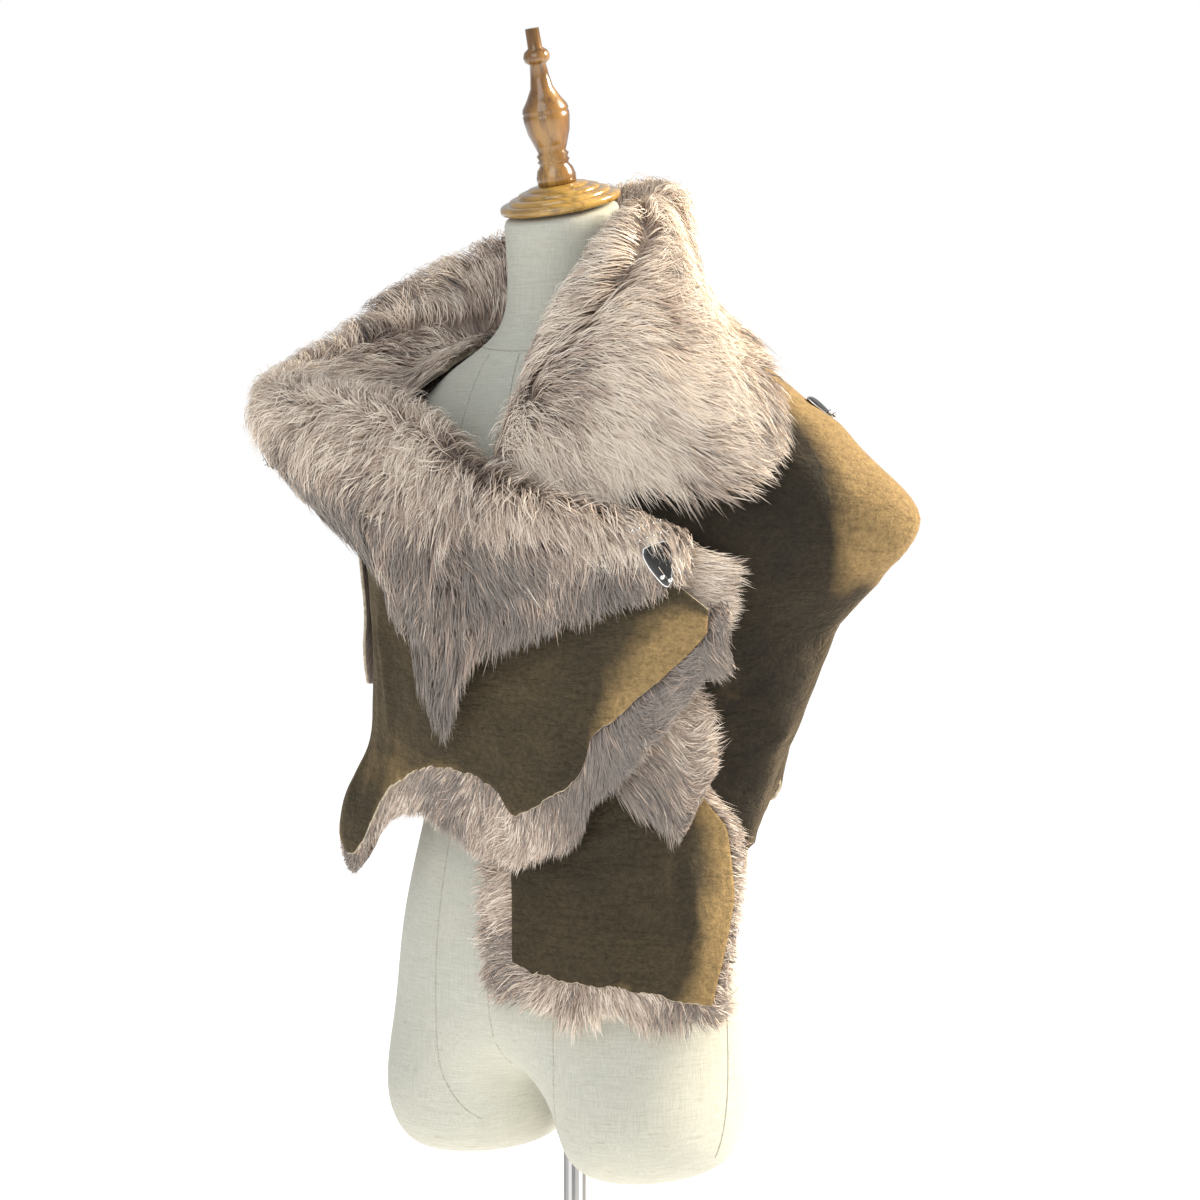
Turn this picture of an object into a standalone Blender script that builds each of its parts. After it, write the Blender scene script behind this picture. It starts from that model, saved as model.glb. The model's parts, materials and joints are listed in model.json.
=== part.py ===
"""A fur cape of suede-faced lambskin, wrapped round a linen dress form on a stand.

The cape is worn closed: the right front crosses over the left front and is hooked at
the left breast. A wide collar of long fur goes round the neck from the hook, over the
right shoulder, behind the neck and down the left side, where it dives under its own
start. Every cloth piece is a wall lofted through upright sections. A section stands at
a bearing round the pole: 0 is the front, 90 the wearer's left, -90 the wearer's right
and 180 the back. Its points are (reach from the pole, height from the floor), in
centimetres, and so are all sizes in the tables.

Metres, +Z up, the front along -Y, the origin on the floor under the pole.
"""

import math
from collections import namedtuple

import bmesh
import bpy
import numpy as np
from mathutils import Matrix, Vector

CM = 0.01

# Stand
FLOOR_PLATE_RADIUS = 18.0
FLOOR_PLATE_THICKNESS = 1.2
SOCKET_RADIUS = 2.1
SOCKET_HEIGHT = 6.0
POLE_RADIUS = 1.2
POLE_TOP = 77.5
SEAT_GAP = 0.03

# Dress form
NECK_TOP = 151.4
NECK_FORWARD = 2.1
CAP_LEAN = 15.0
RING_POINTS = 16
HIP_FORWARD = 1.4

# Walls
SUEDE = 0.25
SHEARLING = 0.8
PILE_UNDER = 0.8
PILE_OVER = 0.9
SEAM = 0.04
SEAM_REACH = 8.0
LAP = 0.11

# The left front lies this far outside the left wing.
LEFT_FRONT_OUT = 1.25

Ring = namedtuple("Ring", "height half_width front back lean")
TORSO = (
    Ring(151.4, 4.95, 7.05, 2.85, 15),
    Ring(150.6, 4.95, 7.00, 2.90, 15),
    Ring(146.0, 4.85, 6.45, 3.30, 10),
    Ring(142.0, 5.50, 6.50, 4.30, 6),
    Ring(139.8, 8.20, 7.60, 6.20, 3),
    Ring(137.6, 12.8, 8.60, 7.60, 0),
    Ring(134.4, 16.6, 9.50, 8.70, 0),
    Ring(130.0, 17.8, 10.6, 9.40, 0),
    Ring(124.5, 17.0, 12.2, 9.40, 0),
    Ring(119.5, 15.6, 12.0, 8.80, 0),
    Ring(113.0, 13.5, 10.4, 7.60, 0),
    Ring(106.0, 12.2, 9.80, 6.80, 0),
    Ring(98.0, 14.5, 11.3, 8.10, 0),
    Ring(90.0, 16.8, 12.3, 9.50, 0),
    Ring(83.0, 17.4, 12.2, 9.60, 0),
)
Thigh = namedtuple("Thigh", "height middle half_width half_depth")
THIGHS = (
    Thigh(77.2, 9.50, 7.95, 10.3),
    Thigh(73.4, 9.30, 7.30, 9.60),
    Thigh(71.1, 9.20, 5.60, 7.60),
    Thigh(70.7, 9.20, 3.00, 4.20),
)
# Bearings round a thigh of the points that go on from the hips, then from the crotch.
THIGH_OUTER = (-46, -14, 20, 52, 90, 128, 160, 194, 226)
THIGH_INNER = (248, 270, 292)
CROTCH = ((-7.2, 79.3), (-1.2, 78.9), (5.0, 79.5))

Turning = namedtuple("Turning", "radius rise")
NECK_CAP = (
    Turning(4.75, 0.00),
    Turning(5.05, 0.15),
    Turning(5.10, 0.45),
    Turning(4.90, 0.75),
    Turning(4.05, 0.95),
    Turning(3.85, 1.25),
    Turning(3.05, 1.45),
    Turning(2.70, 1.75),
    Turning(1.70, 1.95),
)
FINIAL = (
    Turning(1.62, 0.00),
    Turning(1.66, 0.60),
    Turning(1.50, 1.20),
    Turning(1.22, 1.55),
    Turning(1.24, 1.75),
    Turning(1.36, 1.90),
    Turning(1.20, 2.10),
    Turning(1.36, 2.40),
    Turning(1.15, 2.65),
    Turning(1.40, 3.30),
    Turning(1.75, 4.30),
    Turning(1.92, 5.30),
    Turning(1.95, 5.80),
    Turning(1.86, 5.92),
    Turning(1.94, 6.10),
    Turning(1.88, 6.40),
    Turning(1.42, 7.10),
    Turning(0.95, 8.00),
    Turning(0.78, 9.00),
    Turning(0.68, 9.95),
    Turning(1.02, 10.2),
    Turning(1.12, 10.6),
    Turning(0.98, 11.0),
    Turning(0.60, 11.3),
    Turning(0.58, 12.9),
)

# The collar's fur surface, from the hook round by the right shoulder, the back and the
# left shoulder. Turn is the bearing, counted on past -180 so that it never jumps.
Collar = namedtuple("Collar", "turn wall foot stand inner outer slope edge")
COLLAR = (
    Collar(61, 0.3, (20.5, 123.0), (20.5, 124.0), (20.9, 124.6), (21.5, 124.2),
           (21.9, 122.8), (21.9, 121.2)),
    Collar(50, 0.7, (18.9, 124.0), (18.9, 125.4), (19.5, 126.2), (20.5, 125.4),
           (21.2, 122.6), (21.2, 119.4)),
    Collar(38, 0.8, (17.3, 124.8), (17.4, 126.2), (18.1, 127.2), (19.2, 126.2),
           (20.2, 122.4), (20.0, 117.9)),
    Collar(25, 0.9, (16.0, 125.6), (16.2, 127.2), (17.0, 128.3), (18.3, 127.2),
           (19.4, 122.4), (19.2, 116.2)),
    Collar(12, 0.9, (15.0, 127.0), (15.2, 128.6), (16.1, 129.8), (17.6, 128.6),
           (18.9, 122.6), (18.4, 114.6)),
    Collar(0, 1.0, (14.2, 128.8), (14.5, 130.4), (15.6, 131.5), (17.2, 130.3),
           (18.7, 122.8), (17.9, 113.2)),
    Collar(-12, 1.0, (13.6, 130.6), (14.2, 132.3), (15.6, 133.3), (17.7, 132.0),
           (19.6, 124.6), (18.2, 115.8)),
    Collar(-24, 1.0, (13.5, 132.2), (14.6, 133.9), (16.6, 134.8), (19.4, 133.4),
           (21.2, 127.0), (18.0, 120.2)),
    Collar(-36, 1.0, (13.8, 133.6), (15.6, 135.0), (18.6, 135.6), (22.6, 134.4),
           (23.8, 129.0), (18.9, 122.8)),
    Collar(-50, 1.0, (14.4, 135.2), (17.4, 136.0), (21.4, 136.3), (26.2, 135.8),
           (26.0, 130.8), (20.6, 124.6)),
    Collar(-62, 1.0, (14.8, 136.8), (17.6, 137.4), (21.2, 138.0), (25.4, 137.4),
           (26.4, 132.4), (22.2, 125.8)),
    Collar(-76, 1.0, (14.6, 138.6), (16.6, 139.8), (19.4, 141.0), (22.6, 140.8),
           (25.6, 135.4), (24.6, 127.8)),
    Collar(-92, 1.0, (13.2, 140.2), (14.4, 142.4), (16.4, 144.6), (19.0, 145.0),
           (22.8, 138.6), (24.6, 130.2)),
    Collar(-112, 1.0, (11.0, 141.8), (11.7, 144.6), (12.9, 147.7), (15.1, 148.4),
           (19.0, 141.6), (22.2, 133.4)),
    Collar(-136, 1.0, (9.4, 142.4), (9.5, 146.4), (10.2, 150.4), (12.0, 150.8),
           (15.4, 143.6), (18.2, 136.4)),
    Collar(-160, 1.0, (8.6, 142.7), (8.3, 147.2), (8.5, 152.0), (10.2, 152.4),
           (13.0, 145.4), (15.6, 138.4)),
    Collar(-182, 1.0, (8.3, 142.7), (7.8, 147.4), (7.8, 152.7), (9.4, 153.0),
           (11.8, 146.2), (14.8, 139.4)),
    Collar(-206, 1.0, (8.2, 142.6), (7.6, 147.3), (7.5, 152.6), (9.0, 152.8),
           (11.2, 146.2), (14.6, 139.8)),
    Collar(-232, 1.0, (8.4, 142.6), (7.1, 146.8), (6.3, 151.6), (8.5, 151.7),
           (10.7, 144.8), (14.9, 140.1)),
    Collar(-256, 1.0, (9.1, 142.5), (7.4, 146.4), (6.1, 150.7), (8.4, 150.8),
           (12.0, 143.4), (17.0, 139.2)),
    Collar(-270, 1.0, (9.8, 142.0), (7.8, 145.9), (6.2, 150.3), (8.6, 150.6),
           (16.0, 140.3), (22.2, 135.6)),
    Collar(-279, 1.0, (10.2, 141.6), (8.1, 145.5), (6.5, 150.1), (8.9, 150.3),
           (17.0, 139.5), (24.8, 129.4)),
    Collar(-290, 1.0, (10.8, 141.0), (8.6, 145.0), (7.0, 149.8), (9.5, 149.4),
           (16.8, 138.2), (23.8, 125.9)),
    Collar(-298, 1.0, (11.3, 140.2), (9.2, 144.3), (7.7, 149.4), (10.1, 148.4),
           (16.0, 138.2), (20.2, 125.9)),
    Collar(-305, 1.0, (11.8, 139.2), (9.6, 143.5), (8.0, 148.7), (10.5, 147.3),
           (15.9, 136.7), (18.1, 125.9)),
    Collar(-320, 1.0, (12.6, 134.8), (10.4, 139.8), (8.8, 145.7), (11.4, 143.5),
           (15.0, 134.4), (16.5, 126.0)),
    Collar(-334, 0.7, (13.2, 131.2), (11.5, 135.6), (9.5, 141.4), (11.8, 139.8),
           (14.3, 133.0), (15.1, 126.5)),
    Collar(-343, 0.4, (13.7, 129.6), (12.4, 132.8), (10.8, 136.0), (12.6, 135.0),
           (14.3, 131.6), (14.9, 127.4)),
    Collar(-350, 0.2, (14.0, 128.8), (13.4, 130.4), (12.9, 131.8), (13.9, 131.6),
           (14.6, 130.2), (14.7, 127.8)),
)
# The longer lock of fur that hangs from the collar's edge at the front.
COLLAR_TIP = ((61, 0), (12, 0), (8, 2.4), (2, 5.2), (-5, 3.0), (-10, 0), (-350, 0))
COLLAR_SEAMS = (61, -100, -250, -350)
# How the collar's thickness goes from its foot to its edge.
COLLAR_TAPER = ((0.0, 0.5), (0.15, 0.8), (0.3, 0.65), (0.45, 0.65), (0.6, 1.0), (0.75, 1.0), (1.0, 0.3))

# The suede shell of the left side, the back and the right side, from the neck to the hem.
Shell = namedtuple("Shell", "bearing top yoke cap arm tip low fold waist hip hem")
SHELL = (
    Shell(12, (13.0, 133.2), (13.1, 132.2), (13.2, 131.2), (13.3, 129.5), (13.2, 126.0),
          (13.0, 121.0), (12.8, 116.5), (12.5, 109.0), (12.3, 101.0), (12.8, 84.0)),
    Shell(30, (12.4, 134.6), (12.9, 133.3), (13.3, 132.0), (13.6, 129.8), (13.9, 126.0),
          (13.7, 121.0), (13.5, 116.5), (13.0, 109.0), (12.9, 101.0), (13.8, 84.0)),
    Shell(46, (11.8, 137.2), (12.9, 135.4), (13.8, 133.2), (14.6, 130.2), (15.2, 126.0),
          (15.1, 121.0), (14.8, 116.5), (14.3, 109.0), (14.4, 101.0), (15.6, 84.0)),
    Shell(62, (10.8, 139.5), (13.2, 137.7), (15.4, 135.0), (17.1, 131.0), (18.1, 126.0),
          (17.7, 121.0), (17.0, 116.4), (16.1, 109.0), (16.3, 101.0), (17.4, 84.0)),
    Shell(75, (10.0, 140.5), (13.8, 138.8), (17.4, 136.0), (20.0, 131.4), (21.6, 126.0),
          (20.7, 121.0), (19.4, 116.3), (18.2, 109.0), (17.6, 101.0), (18.4, 84.0)),
    Shell(88, (9.6, 141.0), (14.2, 139.3), (18.8, 136.4), (23.4, 131.8), (26.6, 125.9),
          (24.6, 120.8), (22.3, 116.3), (20.4, 109.0), (18.4, 101.0), (18.2, 84.0)),
    Shell(100, (9.2, 141.3), (14.4, 139.4), (19.6, 136.4), (25.0, 132.0), (30.8, 125.8),
          (27.2, 120.6), (23.6, 116.2), (21.2, 109.0), (17.6, 100.5), (17.2, 84.0)),
    Shell(112, (9.0, 141.4), (13.8, 139.4), (18.4, 136.2), (23.0, 132.0), (28.2, 126.0),
          (24.8, 120.8), (21.8, 116.2), (19.4, 109.0), (16.2, 100.5), (16.2, 84.0)),
    Shell(130, (8.9, 141.5), (12.8, 139.2), (17.0, 136.0), (20.6, 132.0), (22.6, 126.0),
          (21.0, 120.8), (19.2, 116.2), (17.8, 109.0), (16.4, 100.5), (16.4, 84.0)),
    Shell(155, (8.7, 141.6), (11.4, 138.8), (14.0, 135.0), (15.7, 130.8), (16.6, 125.6),
          (16.6, 120.6), (16.4, 116.0), (16.0, 109.0), (16.0, 100.5), (16.4, 84.0)),
    Shell(180, (8.5, 141.7), (10.6, 138.4), (12.6, 134.2), (14.0, 130.0), (14.8, 125.0),
          (14.9, 120.4), (14.8, 116.0), (14.8, 109.0), (15.2, 100.5), (16.0, 84.0)),
    Shell(205, (8.7, 141.6), (11.4, 138.8), (13.8, 135.0), (15.4, 130.8), (16.4, 125.6),
          (16.4, 120.6), (16.2, 116.0), (16.2, 109.0), (16.6, 100.5), (17.0, 84.0)),
    Shell(230, (9.2, 141.4), (13.2, 139.0), (17.0, 136.0), (19.8, 131.6), (21.0, 126.0),
          (20.2, 120.8), (19.2, 116.2), (18.6, 109.0), (18.4, 100.5), (18.2, 84.0)),
    Shell(248, (9.7, 141.0), (14.4, 138.6), (19.0, 135.8), (22.4, 131.2), (23.6, 125.8),
          (22.6, 120.8), (21.2, 116.2), (20.6, 109.0), (20.2, 100.5), (19.6, 84.0)),
    Shell(266, (10.3, 140.3), (14.6, 138.2), (18.6, 135.4), (21.8, 130.8), (23.0, 125.6),
          (22.2, 120.6), (21.2, 116.0), (21.0, 109.0), (20.6, 100.5), (20.0, 84.0)),
    Shell(283, (11.0, 139.3), (14.6, 137.5), (17.8, 134.8), (20.2, 130.2), (20.8, 125.4),
          (20.0, 120.6), (19.6, 116.0), (20.0, 109.0), (20.4, 100.5), (20.2, 84.0)),
    Shell(300, (11.8, 138.0), (14.4, 136.2), (16.9, 133.6), (18.6, 129.6), (19.2, 125.2),
          (18.8, 120.6), (18.5, 116.0), (19.2, 109.0), (19.6, 100.5), (19.4, 84.0)),
)
# Soft standing folds: how far out a fold stands at its foot, and how wide it is.
Fold = namedtuple("Fold", "bearing width depth top foot")
FOLDS = (
    Fold(104, 8, -0.5, 118, 102),
    Fold(128, 8, 0.8, 126, 104),
    Fold(146, 7, -0.6, 124, 100),
    Fold(164, 9, 1.0, 128, 98),
    Fold(188, 8, -0.3, 122, 98),
    Fold(206, 9, 1.1, 128, 94),
    Fold(226, 7, -0.5, 122, 100),
    Fold(258, 8, 0.6, 120, 106),
)
Cut = namedtuple("Cut", "bearing height")
LEFT_WING_HEM = (
    Cut(52, 104), Cut(66, 98.5), Cut(78, 98.4), Cut(90, 98.6), Cut(100, 99.6), Cut(112, 99.6),
)
BACK_HEM = (
    Cut(112, 99.6), Cut(124, 103), Cut(140, 100), Cut(152, 94), Cut(163, 97.5), Cut(180, 99.5),
    Cut(196, 96), Cut(208, 91.5), Cut(220, 98), Cut(234, 103), Cut(248, 106),
)
RIGHT_WING_HEM = (
    Cut(248, 106), Cut(262, 108), Cut(276, 111.2), Cut(288, 110.6), Cut(300, 115),
)

# Outlines on the left side, each side of a piece from one corner to the next.
LEFT_FRONT_TOP = (Cut(15, 122.6), Cut(40, 122.6), Cut(67, 121.6))
LEFT_FRONT_SIDE = (
    Cut(67, 121.6), Cut(64, 116), Cut(64, 110), Cut(69, 104), Cut(78, 100.5), Cut(79.5, 95.5),
    Cut(76, 90.5), Cut(72.5, 85.5),
)
LEFT_FRONT_HEM = (
    Cut(16.5, 89.6), Cut(24, 88.9), Cut(38, 88.2), Cut(49, 88.0), Cut(59, 87.2), Cut(66, 86.2),
    Cut(72.5, 85.5),
)
LEFT_FRONT_INSIDE = (Cut(15, 122.6), Cut(15, 100), Cut(16.5, 89.6))
LEFT_FRINGE = ((15, 2.2), (30, 2.2), (50, 1.6), (73, 0.8))
LEFT_FRINGE_IN = 7.0
LEFT_FRINGE_OUT = 3.0
REVERS_TOP = (Cut(45, 123.6), Cut(60, 123.6), Cut(72, 122.4))
REVERS_SIDE = (
    Cut(72, 122.4), Cut(71.5, 118.5), Cut(67, 115.0), Cut(65, 112.6), Cut(71, 108.4), Cut(72, 106.0),
    Cut(68.5, 103.0),
)
REVERS_HEM = (Cut(45, 104.8), Cut(54, 102.8), Cut(60, 101.6), Cut(64.5, 100.2), Cut(68.5, 103.0))
REVERS_INSIDE = (Cut(45, 123.6), Cut(45, 104.8))

# The right front crosses the chest from the right side to the hook.
Front = namedtuple("Front", "bearing neck top bust rib waist hip hem")
RIGHT_FRONT = (
    Front(-80, (19.4, 130.0), (19.6, 124.0), (19.0, 119.0), (18.4, 113.0), (18.2, 107.0),
          (20.0, 100.0), (20.8, 90.0)),
    Front(-64, (17.4, 130.0), (18.3, 124.4), (17.8, 119.0), (17.2, 113.0), (17.4, 107.0),
          (20.0, 100.0), (20.8, 90.0)),
    Front(-50, (15.3, 132.5), (17.9, 124.4), (17.5, 119.0), (17.1, 113.0), (17.5, 106.5),
          (20.0, 100.0), (20.2, 90.0)),
    Front(-37, (14.2, 133.2), (17.3, 124.4), (17.1, 119.0), (16.8, 113.0), (16.8, 106.5),
          (18.1, 100.0), (18.5, 90.0)),
    Front(-24, (13.9, 132.0), (16.7, 124.4), (16.5, 119.0), (16.2, 113.0), (16.0, 106.5),
          (16.1, 100.0), (16.2, 90.0)),
    Front(-12, (14.0, 130.4), (16.2, 124.4), (16.1, 119.0), (15.9, 113.0), (15.7, 106.5),
          (15.6, 100.0), (15.7, 90.0)),
    Front(0, (14.6, 128.6), (15.9, 124.2), (15.9, 119.0), (15.7, 113.0), (15.4, 106.5),
          (15.3, 100.0), (15.4, 90.0)),
    Front(12, (15.4, 126.8), (15.9, 124.0), (16.0, 119.0), (15.9, 113.0), (15.6, 106.5),
          (15.4, 100.0), (15.5, 90.0)),
    Front(25, (16.4, 125.4), (16.6, 123.7), (16.8, 119.0), (16.8, 113.0), (16.4, 106.5),
          (16.2, 100.0), (16.2, 90.0)),
    Front(38, (17.7, 124.6), (17.9, 123.2), (18.1, 119.0), (18.1, 113.0), (17.6, 106.5),
          (17.4, 100.0), (17.4, 90.0)),
    Front(50, (19.3, 123.8), (19.6, 122.4), (19.8, 118.7), (19.6, 113.0), (19.1, 106.5),
          (18.8, 100.0), (18.8, 90.0)),
    Front(61, (21.2, 122.8), (21.5, 121.4), (21.6, 118.4), (21.3, 113.0), (20.6, 106.5),
          (20.2, 100.0), (20.2, 90.0)),
    Front(70, (23.2, 122.0), (23.4, 120.6), (23.2, 118.2), (22.8, 113.0), (22.0, 106.5),
          (21.6, 100.0), (21.6, 90.0)),
)
RIGHT_FRONT_TOP = (
    Cut(-78, 122.6), Cut(-62, 124.4), Cut(-50, 129.0), Cut(-38, 132.6), Cut(-24, 131.9), Cut(-12, 130.3),
    Cut(0, 128.5), Cut(12, 126.7), Cut(25, 125.3), Cut(38, 124.5), Cut(50, 123.7), Cut(58, 121.4),
    Cut(65.5, 118.8),
)
RIGHT_FRONT_HEM = (
    Cut(-78, 104.0), Cut(-70, 99.0), Cut(-62, 95.0), Cut(-52, 98.8), Cut(-44, 95.6), Cut(-38, 97.5),
    Cut(-32, 102.0), Cut(-25, 103.2), Cut(-16, 104.3), Cut(-7, 104.6), Cut(5, 104.1), Cut(12.5, 103.4),
    Cut(17, 102.0), Cut(19.5, 101.0), Cut(30, 102.6), Cut(40, 104.4), Cut(42, 106.4), Cut(46, 108.6),
    Cut(56, 112.2), Cut(62.5, 115.0), Cut(65.5, 117.0),
)
RIGHT_FRONT_INSIDE = (Cut(-78, 122.6), Cut(-78, 104.0))
RIGHT_FRONT_SIDE = (Cut(65.5, 118.8), Cut(65.5, 117.0))
RIGHT_FRINGE = (
    (-78, 1.0), (-52, 1.4), (-38, 1.6), (-30, 2.6), (-16, 4.2), (-7, 5.8), (5, 7.0), (14, 6.2),
    (20, 4.6), (30, 4.8), (42, 6.0), (50, 6.2), (58, 5.6), (65.5, 4.0),
)
RIGHT_FRINGE_OUT = 3.0

Clasp = namedtuple("Clasp", "name bearing height width length turn lift")
FRONT_CLASP = Clasp("front_clasp", 56.5, 122.3, 2.4, 3.6, 18, 0.09)
LEFT_CLASP = Clasp("left_clasp", 103, 134.3, 2.0, 3.0, 0, 0.09)
RIGHT_CLASP = Clasp("right_clasp", -54, 131.2, 2.0, 3.8, 0, 0.03)
CLASP_DEPTH = 0.4
CLASP_TAPER = 0.45


def place(bearing, reach, height):
    """The point at a bearing in degrees, a reach and a height in centimetres."""
    angle = math.radians(bearing)
    return Vector((reach * math.sin(angle), -reach * math.cos(angle), height)) * CM


def along(knots, values, at):
    """A smooth curve through values at rising or falling knots, read at one place."""
    knots = np.asarray(knots, float)
    values = np.asarray(values, float)
    if knots[0] > knots[-1]:
        knots, values = knots[::-1], values[::-1]
    i = int(np.clip(np.searchsorted(knots, at) - 1, 0, len(knots) - 2))
    span = knots[i + 1] - knots[i]
    t = (at - knots[i]) / span

    def slope(k):
        low, high = max(k - 1, 0), min(k + 1, len(knots) - 1)
        return (values[high] - values[low]) / (knots[high] - knots[low]) * span

    start, end = values[i], values[i + 1]
    return (
        (2 * t**3 - 3 * t**2 + 1) * start
        + (t**3 - 2 * t**2 + t) * slope(i)
        + (3 * t**2 - 2 * t**3) * end
        + (t**3 - t**2) * slope(i + 1)
    )


def straight(table, at):
    """The value in a table of (place, value) rows, with straight lines between them."""
    rows = sorted((row[0], row[1]) for row in table)
    return float(np.interp(at, [row[0] for row in rows], [row[1] for row in rows]))


def section_of(table, at, first=1, samples=81):
    """The section at a bearing, as many (reach, height) points from its top to its end."""
    knots = [row[0] for row in table]
    levels = [along(knots, [row[k] for row in table], at) for k in range(first, len(table[0]))]
    return np.array([along(range(len(levels)), levels, s)
                     for s in np.linspace(0, len(levels) - 1, samples)])


def shares(section):
    """How much of a section's length lies before each of its points, from 0 to 1."""
    gone = np.concatenate([[0], np.cumsum(np.linalg.norm(np.diff(section, axis=0), axis=1))])
    return gone / gone[-1]


def part_of(section, first, last, count):
    """Count points evenly spaced along a section between two shares of its length."""
    wanted = np.linspace(first, last, count)
    return np.stack([np.interp(wanted, shares(section), section[:, c]) for c in (0, 1)], axis=1)


def share_at_height(section, height):
    """The share of a section's length at which it last comes down to a height."""
    i = min(int(np.flatnonzero(section[:, 1] >= height)[-1]), len(section) - 2)
    step = (section[i, 1] - height) / (section[i, 1] - section[i + 1, 1])
    gone = shares(section)
    return gone[i] + np.clip(step, 0, 1) * (gone[i + 1] - gone[i])


def bearings_of(first, last, count, corners):
    """Evenly spaced bearings, each corner taking the place of the one nearest to it."""
    found = list(np.linspace(first, last, count))
    for corner in corners:
        if min(first, last) < corner < max(first, last):
            nearest = min(range(1, count - 1), key=lambda k: abs(found[k] - corner))
            found[nearest] = corner
    return sorted(found, reverse=last < first)


def with_folds(panel):
    """A panel whose reach goes out and in with the folds, more and more to their feet."""
    for fold in FOLDS:
        turn = (panel[..., 0] - fold.bearing + 180) % 360 - 180
        fall = np.clip((fold.top - panel[..., 2]) / (fold.top - fold.foot), 0, 1.2)
        panel[..., 1] += fold.depth * fall * np.exp(-((turn / fold.width) ** 2))
    return panel


def collar_panel(first, last, across, down):
    """The collar's fur surface between two turns, its edge lengthened at the front tip."""
    rows = []
    for turn in bearings_of(first, last, across, [row[0] for row in COLLAR_TIP]):
        section = section_of(COLLAR, turn, first=2)
        longer = straight(COLLAR_TIP, turn)
        if longer > 0:
            section = np.vstack([section, section[-1] - (0, longer)])
        rows.append([(turn, *point) for point in part_of(section, 0, 1, down)])
    return np.array(rows)


def shell_panel(first, last, across, down, hem):
    """Part of the shell, from the neck to a hem."""
    rows = []
    for bearing in bearings_of(first, last, across, [cut.bearing for cut in hem]):
        section = section_of(SHELL, bearing)
        end = share_at_height(section, straight(hem, bearing))
        rows.append([(bearing, *point) for point in part_of(section, 0, end, down)])
    return with_folds(np.array(rows))


def outline_side(cuts, count, corners=False):
    """Count places along one side of an outline, on its corners where they matter."""
    cuts = np.array(cuts, float)
    gone = shares(cuts)
    at = np.linspace(0, 1, count)
    if corners:
        at = np.array(bearings_of(0, 1, count, gone[1:-1]))
    return np.stack([np.interp(at, gone, cuts[:, c]) for c in (0, 1)], axis=1), at


def outlined_panel(table, top, hem, inside, side, across, down):
    """A piece of a table's surface within four sides, as a grid blended between them."""
    hem_points, u = outline_side(hem, across, corners=True)
    top_points = np.stack([np.interp(u, shares(np.array(top, float)), np.array(top, float)[:, c])
                           for c in (0, 1)], axis=1)
    left, v = outline_side(inside, down)
    right, _ = outline_side(side, down)
    u, v = u[:, None, None], v[None, :, None]
    flat = (
        (1 - u) * left[None] + u * right[None]
        + (1 - v) * top_points[:, None] + v * hem_points[:, None]
        - (1 - u) * (1 - v) * left[0] - (1 - u) * v * left[-1]
        - u * (1 - v) * right[0] - u * v * right[-1]
    )
    return on_surface(table, flat)


def on_surface(table, flat):
    """The reach of a table's surface at each (bearing, height) of a grid."""
    panel = np.zeros((*flat.shape[:2], 3))
    for i, column in enumerate(flat):
        for j, (bearing, height) in enumerate(column):
            section = section_of(table, bearing, samples=41)[::-1]
            panel[i, j] = bearing, np.interp(height, section[:, 1], section[:, 0]), height
    return with_folds(panel)


def fringed(table, panel, fringe, before, after):
    """A panel and a border of fur round it: below its hem, and before and after its sides."""
    flat = panel[..., ::2]
    low = flat[:, -1:].copy()
    low[:, 0, 1] -= [straight(fringe, bearing) for bearing in low[:, 0, 0]]
    flat = np.concatenate([flat, low], axis=1)
    if before:
        flat = np.concatenate([flat[:1] - (before, 0), flat])
    if after:
        flat = np.concatenate([flat, flat[-1:] + (after, 0)])
    return on_surface(table, flat)


def moved(panel, distance):
    """A panel moved to its outer side, each point along the normal in its own section."""
    step = np.gradient(panel[..., 1:], axis=1)
    normal = np.stack([-step[..., 1], step[..., 0]], axis=-1)
    normal /= np.linalg.norm(normal, axis=-1, keepdims=True)
    result = panel.copy()
    result[..., 1:] += normal * np.broadcast_to(distance, panel.shape[:2])[..., None]
    return result


def wall(name, panel, thickness, finish):
    """A closed wall between a panel and the same panel moved in by the thickness.

    A Solidify would tilt the end sections out of their planes, and two neighbours would
    then cross at their seam.
    """
    built = bmesh.new()
    sheets = [[[built.verts.new(place(*point)) for point in column] for column in side]
              for side in (panel, moved(panel, -np.asarray(thickness)))]
    for columns in sheets:
        for left, right in zip(columns, columns[1:]):
            for j in range(len(left) - 1):
                built.faces.new((left[j], right[j], right[j + 1], left[j + 1]))
    outer_rim, inner_rim = [rim_of(columns) for columns in sheets]
    for k in range(len(outer_rim)):
        n = (k + 1) % len(outer_rim)
        built.faces.new((outer_rim[k], outer_rim[n], inner_rim[n], inner_rim[k]))
    bmesh.ops.recalc_face_normals(built, faces=built.faces)
    add_piece(name, built, finish)


def rim_of(columns):
    """The points round a sheet: its top, its last side, its hem and its first side."""
    top = [column[0] for column in columns]
    hem = [column[-1] for column in columns]
    return top + columns[-1][1:-1] + hem[::-1] + columns[0][-2:0:-1]


def add_piece(name, built, finish):
    mesh = bpy.data.meshes.new(name)
    built.to_mesh(mesh)
    built.free()
    mesh.materials.append(finish)
    mesh.shade_smooth()
    piece = bpy.data.objects.new(name, mesh)
    cape.objects.link(piece)
    return piece


def material(name, colour, roughness, metallic=0.0):
    made = bpy.data.materials.new(name)
    made.use_nodes = True
    shader = made.node_tree.nodes["Principled BSDF"]
    shader.inputs["Base Color"].default_value = (*colour, 1)
    shader.inputs["Roughness"].default_value = roughness
    shader.inputs["Metallic"].default_value = metallic
    return made


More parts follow.
